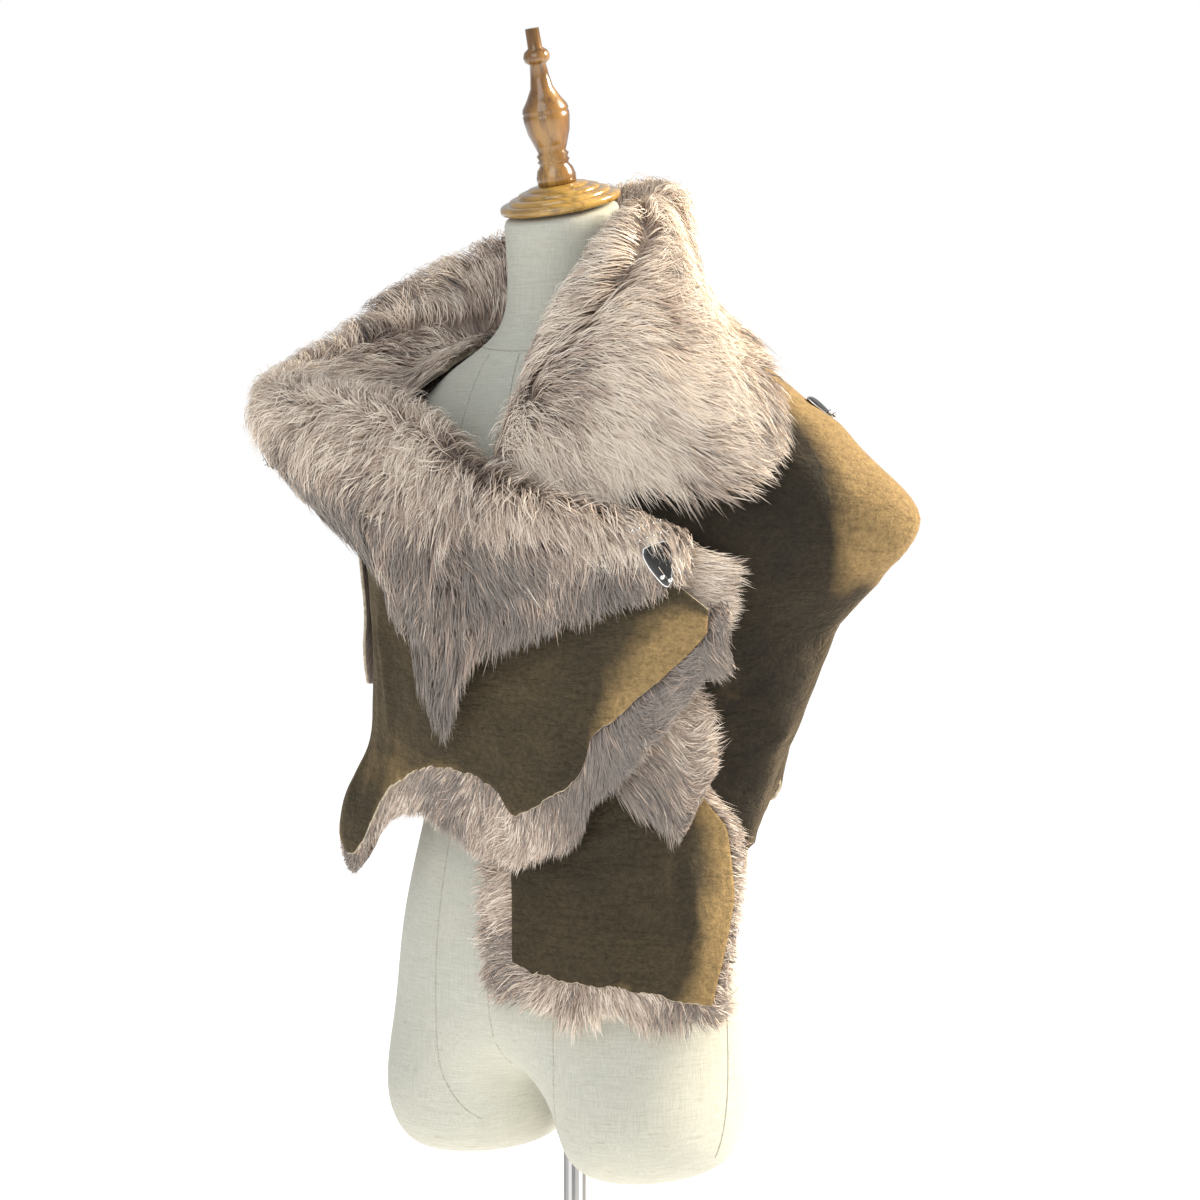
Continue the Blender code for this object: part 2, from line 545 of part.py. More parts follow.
def turned(name, profile, finish, steps):
    """A turned piece: its profile, top first at +X, swept by a Screw and closed at its ends."""
    points = [(0, profile[-1].rise)] + [(t.radius, t.rise) for t in reversed(profile)]
    points.append((0, profile[0].rise))
    mesh = bpy.data.meshes.new(name)
    mesh.from_pydata([(x * CM, 0, z * CM) for x, z in points],
                     [(i, i + 1) for i in range(len(points) - 1)], [])
    mesh.materials.append(finish)
    piece = bpy.data.objects.new(name, mesh)
    cape.objects.link(piece)
    screw = piece.modifiers.new("turning", "SCREW")
    screw.steps = screw.render_steps = steps
    screw.use_merge_vertices = True
    screw.merge_threshold = 0.0001
    screw.use_smooth_shade = True
    return piece


def build_stand(chrome):
    plate_top = FLOOR_PLATE_THICKNESS
    plate = (Turning(FLOOR_PLATE_RADIUS, 0), Turning(FLOOR_PLATE_RADIUS, plate_top - 0.4),
             Turning(FLOOR_PLATE_RADIUS - 0.5, plate_top))
    turned("floor_plate", plate, chrome, 48)
    foot = plate_top + SEAT_GAP
    socket = (Turning(SOCKET_RADIUS + 1.0, foot), Turning(SOCKET_RADIUS, foot + 0.8),
              Turning(SOCKET_RADIUS, foot + SOCKET_HEIGHT))
    turned("pole_socket", socket, chrome, 24)
    pole = (Turning(POLE_RADIUS, foot + SOCKET_HEIGHT + SEAT_GAP), Turning(POLE_RADIUS, POLE_TOP))
    turned("pole", pole, chrome, 24)


def torso_ring(built, ring):
    """The cage points of one ring, from the front round by the left side."""
    middle = (ring.back - ring.front) / 2
    depth = (ring.back + ring.front) / 2
    points = []
    for k in range(RING_POINTS):
        angle = 2 * math.pi * k / RING_POINTS
        drop = depth * math.cos(angle) * math.tan(math.radians(ring.lean))
        x = ring.half_width * math.sin(angle)
        y = middle - depth * math.cos(angle)
        points.append(built.verts.new(Vector((x, y, ring.height - drop)) * CM))
    return points


def build_form(linen):
    """A cage of rings under a Subdivision Surface: a torso that splits into two thighs."""
    built = bmesh.new()
    rings = [torso_ring(built, ring) for ring in TORSO]
    for upper, lower in zip(rings, rings[1:]):
        for k in range(RING_POINTS):
            n = (k + 1) % RING_POINTS
            built.faces.new((upper[k], lower[k], lower[n], upper[n]))
    built.faces.new(rings[0])

    half = RING_POINTS // 2
    hips = rings[-1]
    bridge = [built.verts.new((0, y * CM, z * CM)) for y, z in CROTCH]
    for side in (1, -1):
        loop = [hips[side * k % RING_POINTS] for k in range(half + 1)] + bridge[::-1]
        for ring in THIGHS:
            lower = []
            for bearing in THIGH_OUTER + THIGH_INNER:
                angle = math.radians(bearing)
                x = side * (ring.middle + ring.half_width * math.sin(angle))
                y = -HIP_FORWARD - ring.half_depth * math.cos(angle)
                lower.append(built.verts.new(Vector((x, y, ring.height)) * CM))
            for k in range(len(loop)):
                n = (k + 1) % len(loop)
                built.faces.new((loop[k], lower[k], lower[n], loop[n]))
            loop = lower
        built.faces.new(loop)
    bmesh.ops.recalc_face_normals(built, faces=built.faces)
    form = add_piece("dress_form", built, linen)
    smooth = form.modifiers.new("smooth", "SUBSURF")
    smooth.levels = smooth.render_levels = 1


def build_wood(wood):
    """The turned cap and finial, leaning forward with the top of the neck."""
    lean = Matrix.Rotation(math.radians(CAP_LEAN), 4, "X")
    seat = Matrix.Translation(Vector((0, -NECK_FORWARD, NECK_TOP)) * CM)
    cap = turned("neck_cap", NECK_CAP, wood, 28)
    finial = turned("finial", FINIAL, wood, 20)
    for piece, rise in ((cap, SEAT_GAP), (finial, NECK_CAP[-1].rise + 2 * SEAT_GAP)):
        piece.matrix_world = seat @ lean @ Matrix.Translation((0, 0, rise * CM))


def build_collar(fur):
    names = ("collar_right", "collar_back", "collar_left")
    counts = (28, 13, 20)
    turns = [row.turn for row in COLLAR]
    walls = [row.wall for row in COLLAR]
    half_seam = math.degrees(SEAM / SEAM_REACH) / 2
    for name, count, first, last in zip(names, counts, COLLAR_SEAMS, COLLAR_SEAMS[1:]):
        start = first if first == COLLAR_SEAMS[0] else first - half_seam
        end = last if last == COLLAR_SEAMS[-1] else last + half_seam
        panel = collar_panel(start, end, count, 13)
        taper = [straight(COLLAR_TAPER, share) for share in np.linspace(0, 1, 13)]
        thickness = [[along(turns, walls, column[0, 0]) * t for t in taper] for column in panel]
        wall(name, panel, thickness, fur)


def build_shell(suede):
    half_seam = math.degrees(SEAM / SEAM_REACH) / 2
    rows = (
        ("left_wing", 52, 112 - half_seam, 13, 14, LEFT_WING_HEM),
        ("back_panel", 112 + half_seam, 248 - half_seam, 20, 13, BACK_HEM),
        ("right_wing", 248 + half_seam, 300, 11, 12, RIGHT_WING_HEM),
    )
    for name, first, last, across, down, hem in rows:
        wall(name, shell_panel(first, last, across, down, hem), SHEARLING, suede)


def pile_of(panel, thickness):
    """The thickness of a fur pile that thins out over its border."""
    spread = np.full(panel.shape[:2], thickness)
    spread[:, -1] *= 0.35
    return spread


def build_left_front(suede, fur):
    """The left front and, from its points, the fur under it. The revers lies on them."""
    sides = (LEFT_FRONT_TOP, LEFT_FRONT_HEM, LEFT_FRONT_INSIDE, LEFT_FRONT_SIDE)
    base = outlined_panel(SHELL, *sides, 12, 12)
    wall("left_front", moved(base, LEFT_FRONT_OUT), SUEDE, suede)
    under = fringed(SHELL, base, LEFT_FRINGE, LEFT_FRINGE_IN, LEFT_FRINGE_OUT)
    out = LEFT_FRONT_OUT - SUEDE - SEAM
    wall("left_front_fur", moved(under, out), pile_of(under, PILE_UNDER), fur)
    sides = (REVERS_TOP, REVERS_HEM, REVERS_INSIDE, REVERS_SIDE)
    base = outlined_panel(SHELL, *sides, 9, 12)
    out = LEFT_FRONT_OUT + PILE_OVER + LAP
    wall("left_revers", moved(base, out), pile_of(base, PILE_OVER), fur)


def build_right_front(suede, fur):
    sides = (RIGHT_FRONT_TOP, RIGHT_FRONT_HEM, RIGHT_FRONT_INSIDE, RIGHT_FRONT_SIDE)
    base = outlined_panel(RIGHT_FRONT, *sides, 34, 10)
    wall("right_front", base, SUEDE, suede)
    under = fringed(RIGHT_FRONT, base, RIGHT_FRINGE, 0, RIGHT_FRINGE_OUT)
    wall("right_front_fur", moved(under, -SUEDE - SEAM), pile_of(under, PILE_UNDER), fur)


def build_clasp(clasp, table, first, black):
    """A flat hook, wide at its top, lying on the surface of a table."""
    section = section_of(table, clasp.bearing, first)
    share = share_at_height(section, clasp.height)
    (before, seat, after) = [part_of(section, share + d, 1, 2)[0] for d in (-0.02, 0, 0.02)]
    down = Vector(place(clasp.bearing, *after) - place(clasp.bearing, *before)).normalized()
    across = Vector(place(clasp.bearing + 90, 1, 0)).normalized()
    out = across.cross(down).normalized()
    if out.dot(place(clasp.bearing, 1, 0.5)) < 0:
        out = -out
    turn = Matrix.Rotation(math.radians(clasp.turn), 3, out)
    down, across = turn @ down, turn @ across
    middle = place(clasp.bearing, *seat) + out * (CLASP_DEPTH / 2 + clasp.lift) * CM
    built = bmesh.new()
    bmesh.ops.create_cube(built, size=1)
    for vertex in built.verts:
        narrow = CLASP_TAPER if vertex.co.z > 0 else 1.0
        vertex.co = (
            middle
            + across * vertex.co.x * clasp.width * narrow * CM
            + out * vertex.co.y * CLASP_DEPTH * CM
            + down * vertex.co.z * clasp.length * CM
        )
    built.normal_update()
    bmesh.ops.recalc_face_normals(built, faces=built.faces)
    piece = add_piece(clasp.name, built, black)
    bevel = piece.modifiers.new("rounded", "BEVEL")
    bevel.width = 0.001
    bevel.segments = 2


for old in list(bpy.data.objects):
    bpy.data.objects.remove(old)
cape = bpy.data.collections.new("fur_cape")
bpy.context.scene.collection.children.link(cape)

chrome = material("chrome", (0.80, 0.81, 0.82), 0.12, 1.0)
linen = material("linen", (0.66, 0.66, 0.57), 0.9)
wood = material("varnished_wood", (0.52, 0.26, 0.08), 0.25)
suede = material("suede", (0.20, 0.15, 0.09), 0.85)
fur = material("fur", (0.45, 0.36, 0.31), 0.8)
black = material("black_clasp", (0.02, 0.02, 0.025), 0.3)

build_stand(chrome)
build_form(linen)
build_wood(wood)
build_shell(suede)
build_left_front(suede, fur)
build_right_front(suede, fur)
build_collar(fur)
build_clasp(FRONT_CLASP, COLLAR, 2, black)
build_clasp(LEFT_CLASP, SHELL, 1, black)
build_clasp(RIGHT_CLASP, COLLAR, 2, black)
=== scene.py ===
# %% [markdown]
# # A fur cape on a dress form
# The cape is double-faced lambskin: suede on one side and long soft fur on the other. It is
# worn suede out, with a wide collar turned fur out, on a linen form with a turned wood finial.
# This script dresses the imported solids. It loads them as a fixed frame, and builds the skins,
# the fur, the linen, the wood and the metal round them.

import json
import math
from collections import namedtuple

import bmesh
import bpy
import numpy as np
from mathutils import Matrix, Vector
from mathutils.bvhtree import BVHTree

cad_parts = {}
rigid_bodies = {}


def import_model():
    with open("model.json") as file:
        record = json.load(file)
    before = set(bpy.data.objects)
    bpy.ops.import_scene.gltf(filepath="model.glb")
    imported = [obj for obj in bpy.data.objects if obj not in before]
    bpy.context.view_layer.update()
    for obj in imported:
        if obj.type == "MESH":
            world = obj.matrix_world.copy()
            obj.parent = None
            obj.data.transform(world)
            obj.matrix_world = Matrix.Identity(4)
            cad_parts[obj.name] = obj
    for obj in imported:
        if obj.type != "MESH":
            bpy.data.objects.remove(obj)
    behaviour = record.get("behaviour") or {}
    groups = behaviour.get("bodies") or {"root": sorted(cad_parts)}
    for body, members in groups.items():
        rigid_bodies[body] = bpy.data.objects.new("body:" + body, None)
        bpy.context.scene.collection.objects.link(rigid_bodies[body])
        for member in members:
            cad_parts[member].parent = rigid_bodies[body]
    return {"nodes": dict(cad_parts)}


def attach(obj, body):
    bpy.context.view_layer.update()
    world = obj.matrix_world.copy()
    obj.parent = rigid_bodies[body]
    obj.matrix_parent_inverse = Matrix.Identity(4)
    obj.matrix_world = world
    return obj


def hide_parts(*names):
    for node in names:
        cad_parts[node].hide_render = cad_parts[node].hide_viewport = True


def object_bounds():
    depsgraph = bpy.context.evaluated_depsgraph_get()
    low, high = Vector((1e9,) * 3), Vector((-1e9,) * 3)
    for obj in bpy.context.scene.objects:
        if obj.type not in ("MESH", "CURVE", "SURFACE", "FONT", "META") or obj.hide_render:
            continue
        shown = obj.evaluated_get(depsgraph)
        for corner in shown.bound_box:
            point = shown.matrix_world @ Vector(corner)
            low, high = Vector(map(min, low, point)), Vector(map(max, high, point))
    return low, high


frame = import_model()
cad_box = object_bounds()
CM = 0.01
print("solids", len(frame["nodes"]), "box",
      [tuple(round(x, 3) for x in corner) for corner in cad_box])

# %% [markdown]
# Every cloth piece hangs round one upright pole, so it is written as upright sections. A
# section stands at a bearing in degrees: 0 is the front, 90 the wearer's left. Its points are
# (reach from the pole, height from the floor) in centimetres. A smooth curve runs through the
# sections, so a few rows give a whole skin. These are the same tables as the solids have.

# %% Reading sections
def along(knots, values, at):
    """A smooth curve through values at rising or falling knots, read at many places."""
    knots, values, at = (np.asarray(x, float) for x in (knots, values, at))
    if knots[0] > knots[-1]:
        knots, values = knots[::-1], values[::-1]
    count = len(knots)
    low, high = np.maximum(np.arange(count) - 1, 0), np.minimum(np.arange(count) + 1, count - 1)
    deep = (...,) + (None,) * (values.ndim - 1)
    slope = (values[high] - values[low]) / (knots[high] - knots[low])[deep]
    i = np.clip(np.searchsorted(knots, at) - 1, 0, count - 2)
    span = (knots[i + 1] - knots[i])[deep]
    t = (at - knots[i])[deep] / span
    return (
        (2 * t**3 - 3 * t**2 + 1) * values[i]
        + (t**3 - 2 * t**2 + t) * slope[i] * span
        + (3 * t**2 - 2 * t**3) * values[i + 1]
        + (t**3 - t**2) * slope[i + 1] * span
    )


def straight(table, at):
    """The values in a table of (place, value) rows, with straight lines between them."""
    rows = np.array(sorted((row[0], row[1]) for row in table), float)
    return np.interp(at, rows[:, 0], rows[:, 1])


def sections(table, bearings, first=1, samples=81):
    """The sections at many bearings, as [bearing, sample, (reach, height)]."""
    levels = np.array([row[first:] for row in table], float)
    found = along([row[0] for row in table], levels, bearings)
    steps = np.linspace(0, found.shape[1] - 1, samples)
    return np.moveaxis(along(range(found.shape[1]), np.moveaxis(found, 1, 0), steps), 0, 1)


def fade(gap, width):
    """A share that grows from 0 to 1 as a gap opens to a width."""
    return np.clip(gap / width, 0, 1)


def shares(line):
    """How much of a line's length lies before each of its points, from 0 to 1."""
    gone = np.concatenate([[0], np.cumsum(np.linalg.norm(np.diff(line, axis=0), axis=1))])
    return gone / gone[-1]


def evenly(line, last, count):
    """Count points evenly spaced along a line, from its start to a share of its length."""
    wanted, gone = np.linspace(0, last, count), shares(line[:, :2])
    return np.stack([np.interp(wanted, gone, line[:, c]) for c in range(line.shape[1])], axis=1)


def share_at_height(section, height):
    """The share of a section's length at which it last comes down to a height."""
    i = min(int(np.flatnonzero(section[:, 1] >= height)[-1]), len(section) - 2)
    step = (section[i, 1] - height) / (section[i, 1] - section[i + 1, 1])
    gone = shares(section)
    return gone[i] + np.clip(step, 0, 1) * (gone[i + 1] - gone[i])


def in_space(panel):
    """The points in metres of a panel of (bearing, reach, height)."""
    angle = np.radians(panel[..., 0])
    return np.stack([panel[..., 1] * np.sin(angle), -panel[..., 1] * np.cos(angle),
                     panel[..., 2]], axis=-1) * CM


def moved(panel, distance):
    """A panel moved to its outer side, each point along the normal in its own section."""
    step = np.gradient(panel[..., 1:3], axis=1)
    normal = np.stack([-step[..., 1], step[..., 0]], axis=-1)
    normal /= np.linalg.norm(normal, axis=-1, keepdims=True)
    result = panel.copy()
    result[..., 1:3] += normal * np.broadcast_to(distance, panel.shape[:2])[..., None]
    return result


def read(field, u, v):
    """A field on a grid, read between its points. u and v run from 0 to 1."""
    a, b = np.clip(u, 0, 1) * (field.shape[0] - 1), np.clip(v, 0, 1) * (field.shape[1] - 1)
    i = np.minimum(a.astype(int), field.shape[0] - 2)
    j = np.minimum(b.astype(int), field.shape[1] - 2)
    s, t = a - i, b - j
    if field.ndim == 3:
        s, t = s[..., None], t[..., None]
    return (field[i, j] * (1 - s) * (1 - t) + field[i + 1, j] * s * (1 - t)
            + field[i, j + 1] * (1 - s) * t + field[i + 1, j + 1] * s * t)


# %% [markdown]
# The collar is one long band of skin. It starts at the hook, goes round by the right shoulder
# and behind the neck, and comes down the left side under its own start, like a spiral. Turn
# is the bearing, counted on past -180. Each row goes from the foot against the neck, over the
# rolled crest, and down to the free edge.

# %% The collar's sections
Collar = namedtuple("Collar", "turn wall foot stand inner outer slope edge")
COLLAR = (
    Collar(61, 0.3, (20.5, 123.0), (20.5, 124.0), (20.9, 124.6), (21.5, 124.2),
           (21.9, 122.8), (21.9, 121.2)),
    Collar(50, 0.7, (18.9, 124.0), (18.9, 125.4), (19.5, 126.2), (20.5, 125.4),
           (21.2, 122.6), (21.2, 119.4)),
    Collar(38, 0.8, (17.3, 124.8), (17.4, 126.2), (18.1, 127.2), (19.2, 126.2),
           (20.2, 122.4), (20.0, 117.9)),
    Collar(25, 0.9, (16.0, 125.6), (16.2, 127.2), (17.0, 128.3), (18.3, 127.2),
           (19.4, 122.4), (19.2, 116.2)),
    Collar(12, 0.9, (15.0, 127.0), (15.2, 128.6), (16.1, 129.8), (17.6, 128.6),
           (18.9, 122.6), (18.4, 114.6)),
    Collar(0, 1.0, (14.2, 128.8), (14.5, 130.4), (15.6, 131.5), (17.2, 130.3),
           (18.7, 122.8), (17.9, 113.2)),
    Collar(-12, 1.0, (13.6, 130.6), (14.2, 132.3), (15.6, 133.3), (17.7, 132.0),
           (19.6, 124.6), (18.2, 115.8)),
    Collar(-24, 1.0, (13.5, 132.2), (14.6, 133.9), (16.6, 134.8), (19.4, 133.4),
           (21.2, 127.0), (18.0, 120.2)),
    Collar(-36, 1.0, (13.8, 133.6), (15.6, 135.0), (18.6, 135.6), (22.6, 134.4),
           (23.8, 129.0), (18.9, 122.8)),
    Collar(-50, 1.0, (14.4, 135.2), (17.4, 136.0), (21.4, 136.3), (26.2, 135.8),
           (26.0, 130.8), (20.6, 124.6)),
    Collar(-62, 1.0, (14.8, 136.8), (17.6, 137.4), (21.2, 138.0), (25.4, 137.4),
           (26.4, 132.4), (22.2, 125.8)),
    Collar(-76, 1.0, (14.6, 138.6), (16.6, 139.8), (19.4, 141.0), (22.6, 140.8),
           (25.6, 135.4), (24.6, 127.8)),
    Collar(-92, 1.0, (13.2, 140.2), (14.4, 142.4), (16.4, 144.6), (19.0, 145.0),
           (22.8, 138.6), (24.6, 130.2)),
    Collar(-112, 1.0, (11.0, 141.8), (11.7, 144.6), (12.9, 147.7), (15.1, 148.4),
           (19.0, 141.6), (22.2, 133.4)),
    Collar(-136, 1.0, (9.4, 142.4), (9.5, 146.4), (10.2, 150.4), (12.0, 150.8),
           (15.4, 143.6), (18.2, 136.4)),
    Collar(-160, 1.0, (8.6, 142.7), (8.3, 147.2), (8.5, 152.0), (10.2, 152.4),
           (13.0, 145.4), (15.6, 138.4)),
    Collar(-182, 1.0, (8.3, 142.7), (7.8, 147.4), (7.8, 152.7), (9.4, 153.0),
           (11.8, 146.2), (14.8, 139.4)),
    Collar(-206, 1.0, (8.2, 142.6), (7.6, 147.3), (7.5, 152.6), (9.0, 152.8),
           (11.2, 146.2), (14.6, 139.8)),
    Collar(-232, 1.0, (8.4, 142.6), (7.1, 146.8), (6.3, 151.6), (8.5, 151.7),
           (10.7, 144.8), (14.9, 140.1)),
    Collar(-256, 1.0, (9.1, 142.5), (7.4, 146.4), (6.1, 150.7), (8.4, 150.8),
           (12.0, 143.4), (17.0, 139.2)),
    Collar(-270, 1.0, (9.8, 142.0), (7.8, 145.9), (6.2, 150.3), (8.6, 150.6),
           (16.0, 140.3), (22.2, 135.6)),
    Collar(-279, 1.0, (10.2, 141.6), (8.1, 145.5), (6.5, 150.1), (8.9, 150.3),
           (17.0, 139.5), (24.8, 129.4)),
    Collar(-290, 1.0, (10.8, 141.0), (8.6, 145.0), (7.0, 149.8), (9.5, 149.4),
           (16.8, 138.2), (23.8, 125.9)),
    Collar(-298, 1.0, (11.3, 140.2), (9.2, 144.3), (7.7, 149.4), (10.1, 148.4),
           (16.0, 138.2), (20.2, 125.9)),
    Collar(-305, 1.0, (11.8, 139.2), (9.6, 143.5), (8.0, 148.7), (10.5, 147.3),
           (15.9, 136.7), (18.1, 125.9)),
    Collar(-320, 1.0, (12.6, 134.8), (10.4, 139.8), (8.8, 145.7), (11.4, 143.5),
           (15.0, 134.4), (16.5, 126.0)),
    Collar(-334, 0.7, (13.2, 131.2), (11.5, 135.6), (9.5, 141.4), (11.8, 139.8),
           (14.3, 133.0), (15.1, 126.5)),
    Collar(-343, 0.4, (13.7, 129.6), (12.4, 132.8), (10.8, 136.0), (12.6, 135.0),
           (14.3, 131.6), (14.9, 127.4)),
    Collar(-350, 0.2, (14.0, 128.8), (13.4, 130.4), (12.9, 131.8), (13.9, 131.6),
           (14.6, 130.2), (14.7, 127.8)),
)
COLLAR_TIP = ((61, 0), (12, 0), (8, 2.4), (2, 5.2), (-5, 3.0), (-10, 0), (-350, 0))
COLLAR_TAPER = (
    (0.0, 0.5), (0.15, 0.8), (0.3, 0.65), (0.45, 0.65), (0.6, 1.0), (0.75, 1.0), (1.0, 0.3),
)


def collar_panel(first, last, across, down):
    """Part of the collar: (bearing, reach, height), and how far along its levels each point is."""
    turns = np.linspace(first, last, across)
    columns = []
    for turn, section in zip(turns, sections(COLLAR, turns, first=2)):
        level = np.linspace(0, 5, len(section))
        line = np.column_stack([section, level])
        longer = straight(COLLAR_TIP, turn)
        if longer > 0:
            line = np.vstack([line, line[-1] - (0, longer, -0.5)])
        columns.append(np.column_stack([np.full(down, turn), evenly(line, 1, down)]))
    columns = np.array(columns)
    return columns[..., :3], columns[..., 3]


# %% [markdown]
# The suede shell covers the left side, the back and the right side, from under the collar to
# the hem. Its folds are soft ridges that grow towards the hem. The hems are lists of bearing
# and height, because the skins keep the wavy edges that they had on the animal.

# %% The shell's sections
Shell = namedtuple("Shell", "bearing top yoke cap arm tip low fold waist hip hem")
SHELL = (
    Shell(12, (13.0, 133.2), (13.1, 132.2), (13.2, 131.2), (13.3, 129.5), (13.2, 126.0),
          (13.0, 121.0), (12.8, 116.5), (12.5, 109.0), (12.3, 101.0), (12.8, 84.0)),
    Shell(30, (12.4, 134.6), (12.9, 133.3), (13.3, 132.0), (13.6, 129.8), (13.9, 126.0),
          (13.7, 121.0), (13.5, 116.5), (13.0, 109.0), (12.9, 101.0), (13.8, 84.0)),
    Shell(46, (11.8, 137.2), (12.9, 135.4), (13.8, 133.2), (14.6, 130.2), (15.2, 126.0),
          (15.1, 121.0), (14.8, 116.5), (14.3, 109.0), (14.4, 101.0), (15.6, 84.0)),
    Shell(62, (10.8, 139.5), (13.2, 137.7), (15.4, 135.0), (17.1, 131.0), (18.1, 126.0),
          (17.7, 121.0), (17.0, 116.4), (16.1, 109.0), (16.3, 101.0), (17.4, 84.0)),
    Shell(75, (10.0, 140.5), (13.8, 138.8), (17.4, 136.0), (20.0, 131.4), (21.6, 126.0),
          (20.7, 121.0), (19.4, 116.3), (18.2, 109.0), (17.6, 101.0), (18.4, 84.0)),
    Shell(88, (9.6, 141.0), (14.2, 139.3), (18.8, 136.4), (23.4, 131.8), (26.6, 125.9),
          (24.6, 120.8), (22.3, 116.3), (20.4, 109.0), (18.4, 101.0), (18.2, 84.0)),
    Shell(100, (9.2, 141.3), (14.4, 139.4), (19.6, 136.4), (25.0, 132.0), (30.8, 125.8),
          (27.2, 120.6), (23.6, 116.2), (21.2, 109.0), (17.6, 100.5), (17.2, 84.0)),
    Shell(112, (9.0, 141.4), (13.8, 139.4), (18.4, 136.2), (23.0, 132.0), (28.2, 126.0),
          (24.8, 120.8), (21.8, 116.2), (19.4, 109.0), (16.2, 100.5), (16.2, 84.0)),
    Shell(130, (8.9, 141.5), (12.8, 139.2), (17.0, 136.0), (20.6, 132.0), (22.6, 126.0),
          (21.0, 120.8), (19.2, 116.2), (17.8, 109.0), (16.4, 100.5), (16.4, 84.0)),
    Shell(155, (8.7, 141.6), (11.4, 138.8), (14.0, 135.0), (15.7, 130.8), (16.6, 125.6),
          (16.6, 120.6), (16.4, 116.0), (16.0, 109.0), (16.0, 100.5), (16.4, 84.0)),
    Shell(180, (8.5, 141.7), (10.6, 138.4), (12.6, 134.2), (14.0, 130.0), (14.8, 125.0),
          (14.9, 120.4), (14.8, 116.0), (14.8, 109.0), (15.2, 100.5), (16.0, 84.0)),
    Shell(205, (8.7, 141.6), (11.4, 138.8), (13.8, 135.0), (15.4, 130.8), (16.4, 125.6),
          (16.4, 120.6), (16.2, 116.0), (16.2, 109.0), (16.6, 100.5), (17.0, 84.0)),
    Shell(230, (9.2, 141.4), (13.2, 139.0), (17.0, 136.0), (19.8, 131.6), (21.0, 126.0),
          (20.2, 120.8), (19.2, 116.2), (18.6, 109.0), (18.4, 100.5), (18.2, 84.0)),
    Shell(248, (9.7, 141.0), (14.4, 138.6), (19.0, 135.8), (22.4, 131.2), (23.6, 125.8),
          (22.6, 120.8), (21.2, 116.2), (20.6, 109.0), (20.2, 100.5), (19.6, 84.0)),
    Shell(266, (10.3, 140.3), (14.6, 138.2), (18.6, 135.4), (21.8, 130.8), (23.0, 125.6),
          (22.2, 120.6), (21.2, 116.0), (21.0, 109.0), (20.6, 100.5), (20.0, 84.0)),
    Shell(283, (11.0, 139.3), (14.6, 137.5), (17.8, 134.8), (20.2, 130.2), (20.8, 125.4),
          (20.0, 120.6), (19.6, 116.0), (20.0, 109.0), (20.4, 100.5), (20.2, 84.0)),
    Shell(300, (11.8, 138.0), (14.4, 136.2), (16.9, 133.6), (18.6, 129.6), (19.2, 125.2),
          (18.8, 120.6), (18.5, 116.0), (19.2, 109.0), (19.6, 100.5), (19.4, 84.0)),
)
Fold = namedtuple("Fold", "bearing width depth top foot")
FOLDS = (
    Fold(104, 8, -0.5, 118, 102),
    Fold(128, 8, 0.8, 126, 104),
    Fold(146, 7, -0.6, 124, 100),
    Fold(164, 9, 1.0, 128, 98),
    Fold(188, 8, -0.3, 122, 98),
    Fold(206, 9, 1.1, 128, 94),
    Fold(226, 7, -0.5, 122, 100),
    Fold(258, 8, 0.6, 120, 106),
)
LEFT_WING_HEM = ((52, 104), (66, 98.5), (78, 98.4), (90, 98.6), (100, 99.6), (112, 99.6))
BACK_HEM = (
    (112, 99.6), (124, 103), (140, 100), (152, 94), (163, 97.5), (180, 99.5),
    (196, 96), (208, 91.5), (220, 98), (234, 103), (248, 106),
)
RIGHT_WING_HEM = ((248, 106), (262, 108), (276, 111.2), (288, 110.6), (300, 115))


def with_folds(panel):
    """A panel whose reach goes out and in with the folds, more and more to their feet."""
    for fold in FOLDS:
        turn = (panel[..., 0] - fold.bearing + 180) % 360 - 180
        fall = np.clip((fold.top - panel[..., 2]) / (fold.top - fold.foot), 0, 1.2)
        panel[..., 1] += fold.depth * fall * np.exp(-((turn / fold.width) ** 2))
    return panel


def shell_panel(first, last, across, down, hem):
    """Part of the shell, from the neck to a hem that wavers a little, as a natural edge does."""
    bearings = np.linspace(first, last, across)
    waver = (0.20 * np.sin(bearings * 0.37) + 0.12 * np.sin(bearings * 0.83 + 1)
             + 0.06 * np.sin(bearings * 1.7))
    columns = []
    for bearing, section, shift in zip(bearings, sections(SHELL, bearings), waver):
        end = share_at_height(section, straight(hem, bearing) + shift)
        columns.append(np.column_stack([np.full(down, bearing), evenly(section, end, down)]))
    return with_folds(np.array(columns))


# %% [markdown]
# The two fronts and the revers are cut outlines on a surface. Each outline has four sides, and
# a grid is blended between them (a Coons patch), so its rows run with the real edges and no
# face is wasted outside the skin.

# %% The fronts
LEFT_FRONT_OUT = 1.25
LEFT_FRONT_TOP = ((15, 122.6), (40, 122.6), (67, 121.6))
LEFT_FRONT_SIDE = (
    (67, 121.6), (64, 116), (64, 110), (69, 104), (78, 100.5), (79.5, 95.5), (76, 90.8),
    (72.5, 86.6),
)
LEFT_FRONT_HEM = (
    (16.5, 89.6), (24, 88.9), (38, 88.3), (49, 88.2), (59, 87.7), (66, 87.0), (72.5, 86.6),
)
LEFT_FRONT_INSIDE = ((15, 122.6), (15, 100), (16.5, 89.6))
LEFT_FRINGE = ((15, 2.2), (30, 2.2), (50, 1.6), (73, 0.8))
REVERS_TOP = ((45, 123.6), (60, 123.6), (72, 122.4))
REVERS_SIDE = (
    (72, 122.4), (71.5, 118.5), (67, 115.0), (65, 112.6), (71, 108.4), (72, 106.0), (68.5, 103.0),
)
REVERS_HEM = ((45, 104.8), (54, 102.8), (60, 101.6), (64.5, 100.2), (68.5, 103.0))
REVERS_INSIDE = ((45, 123.6), (45, 104.8))

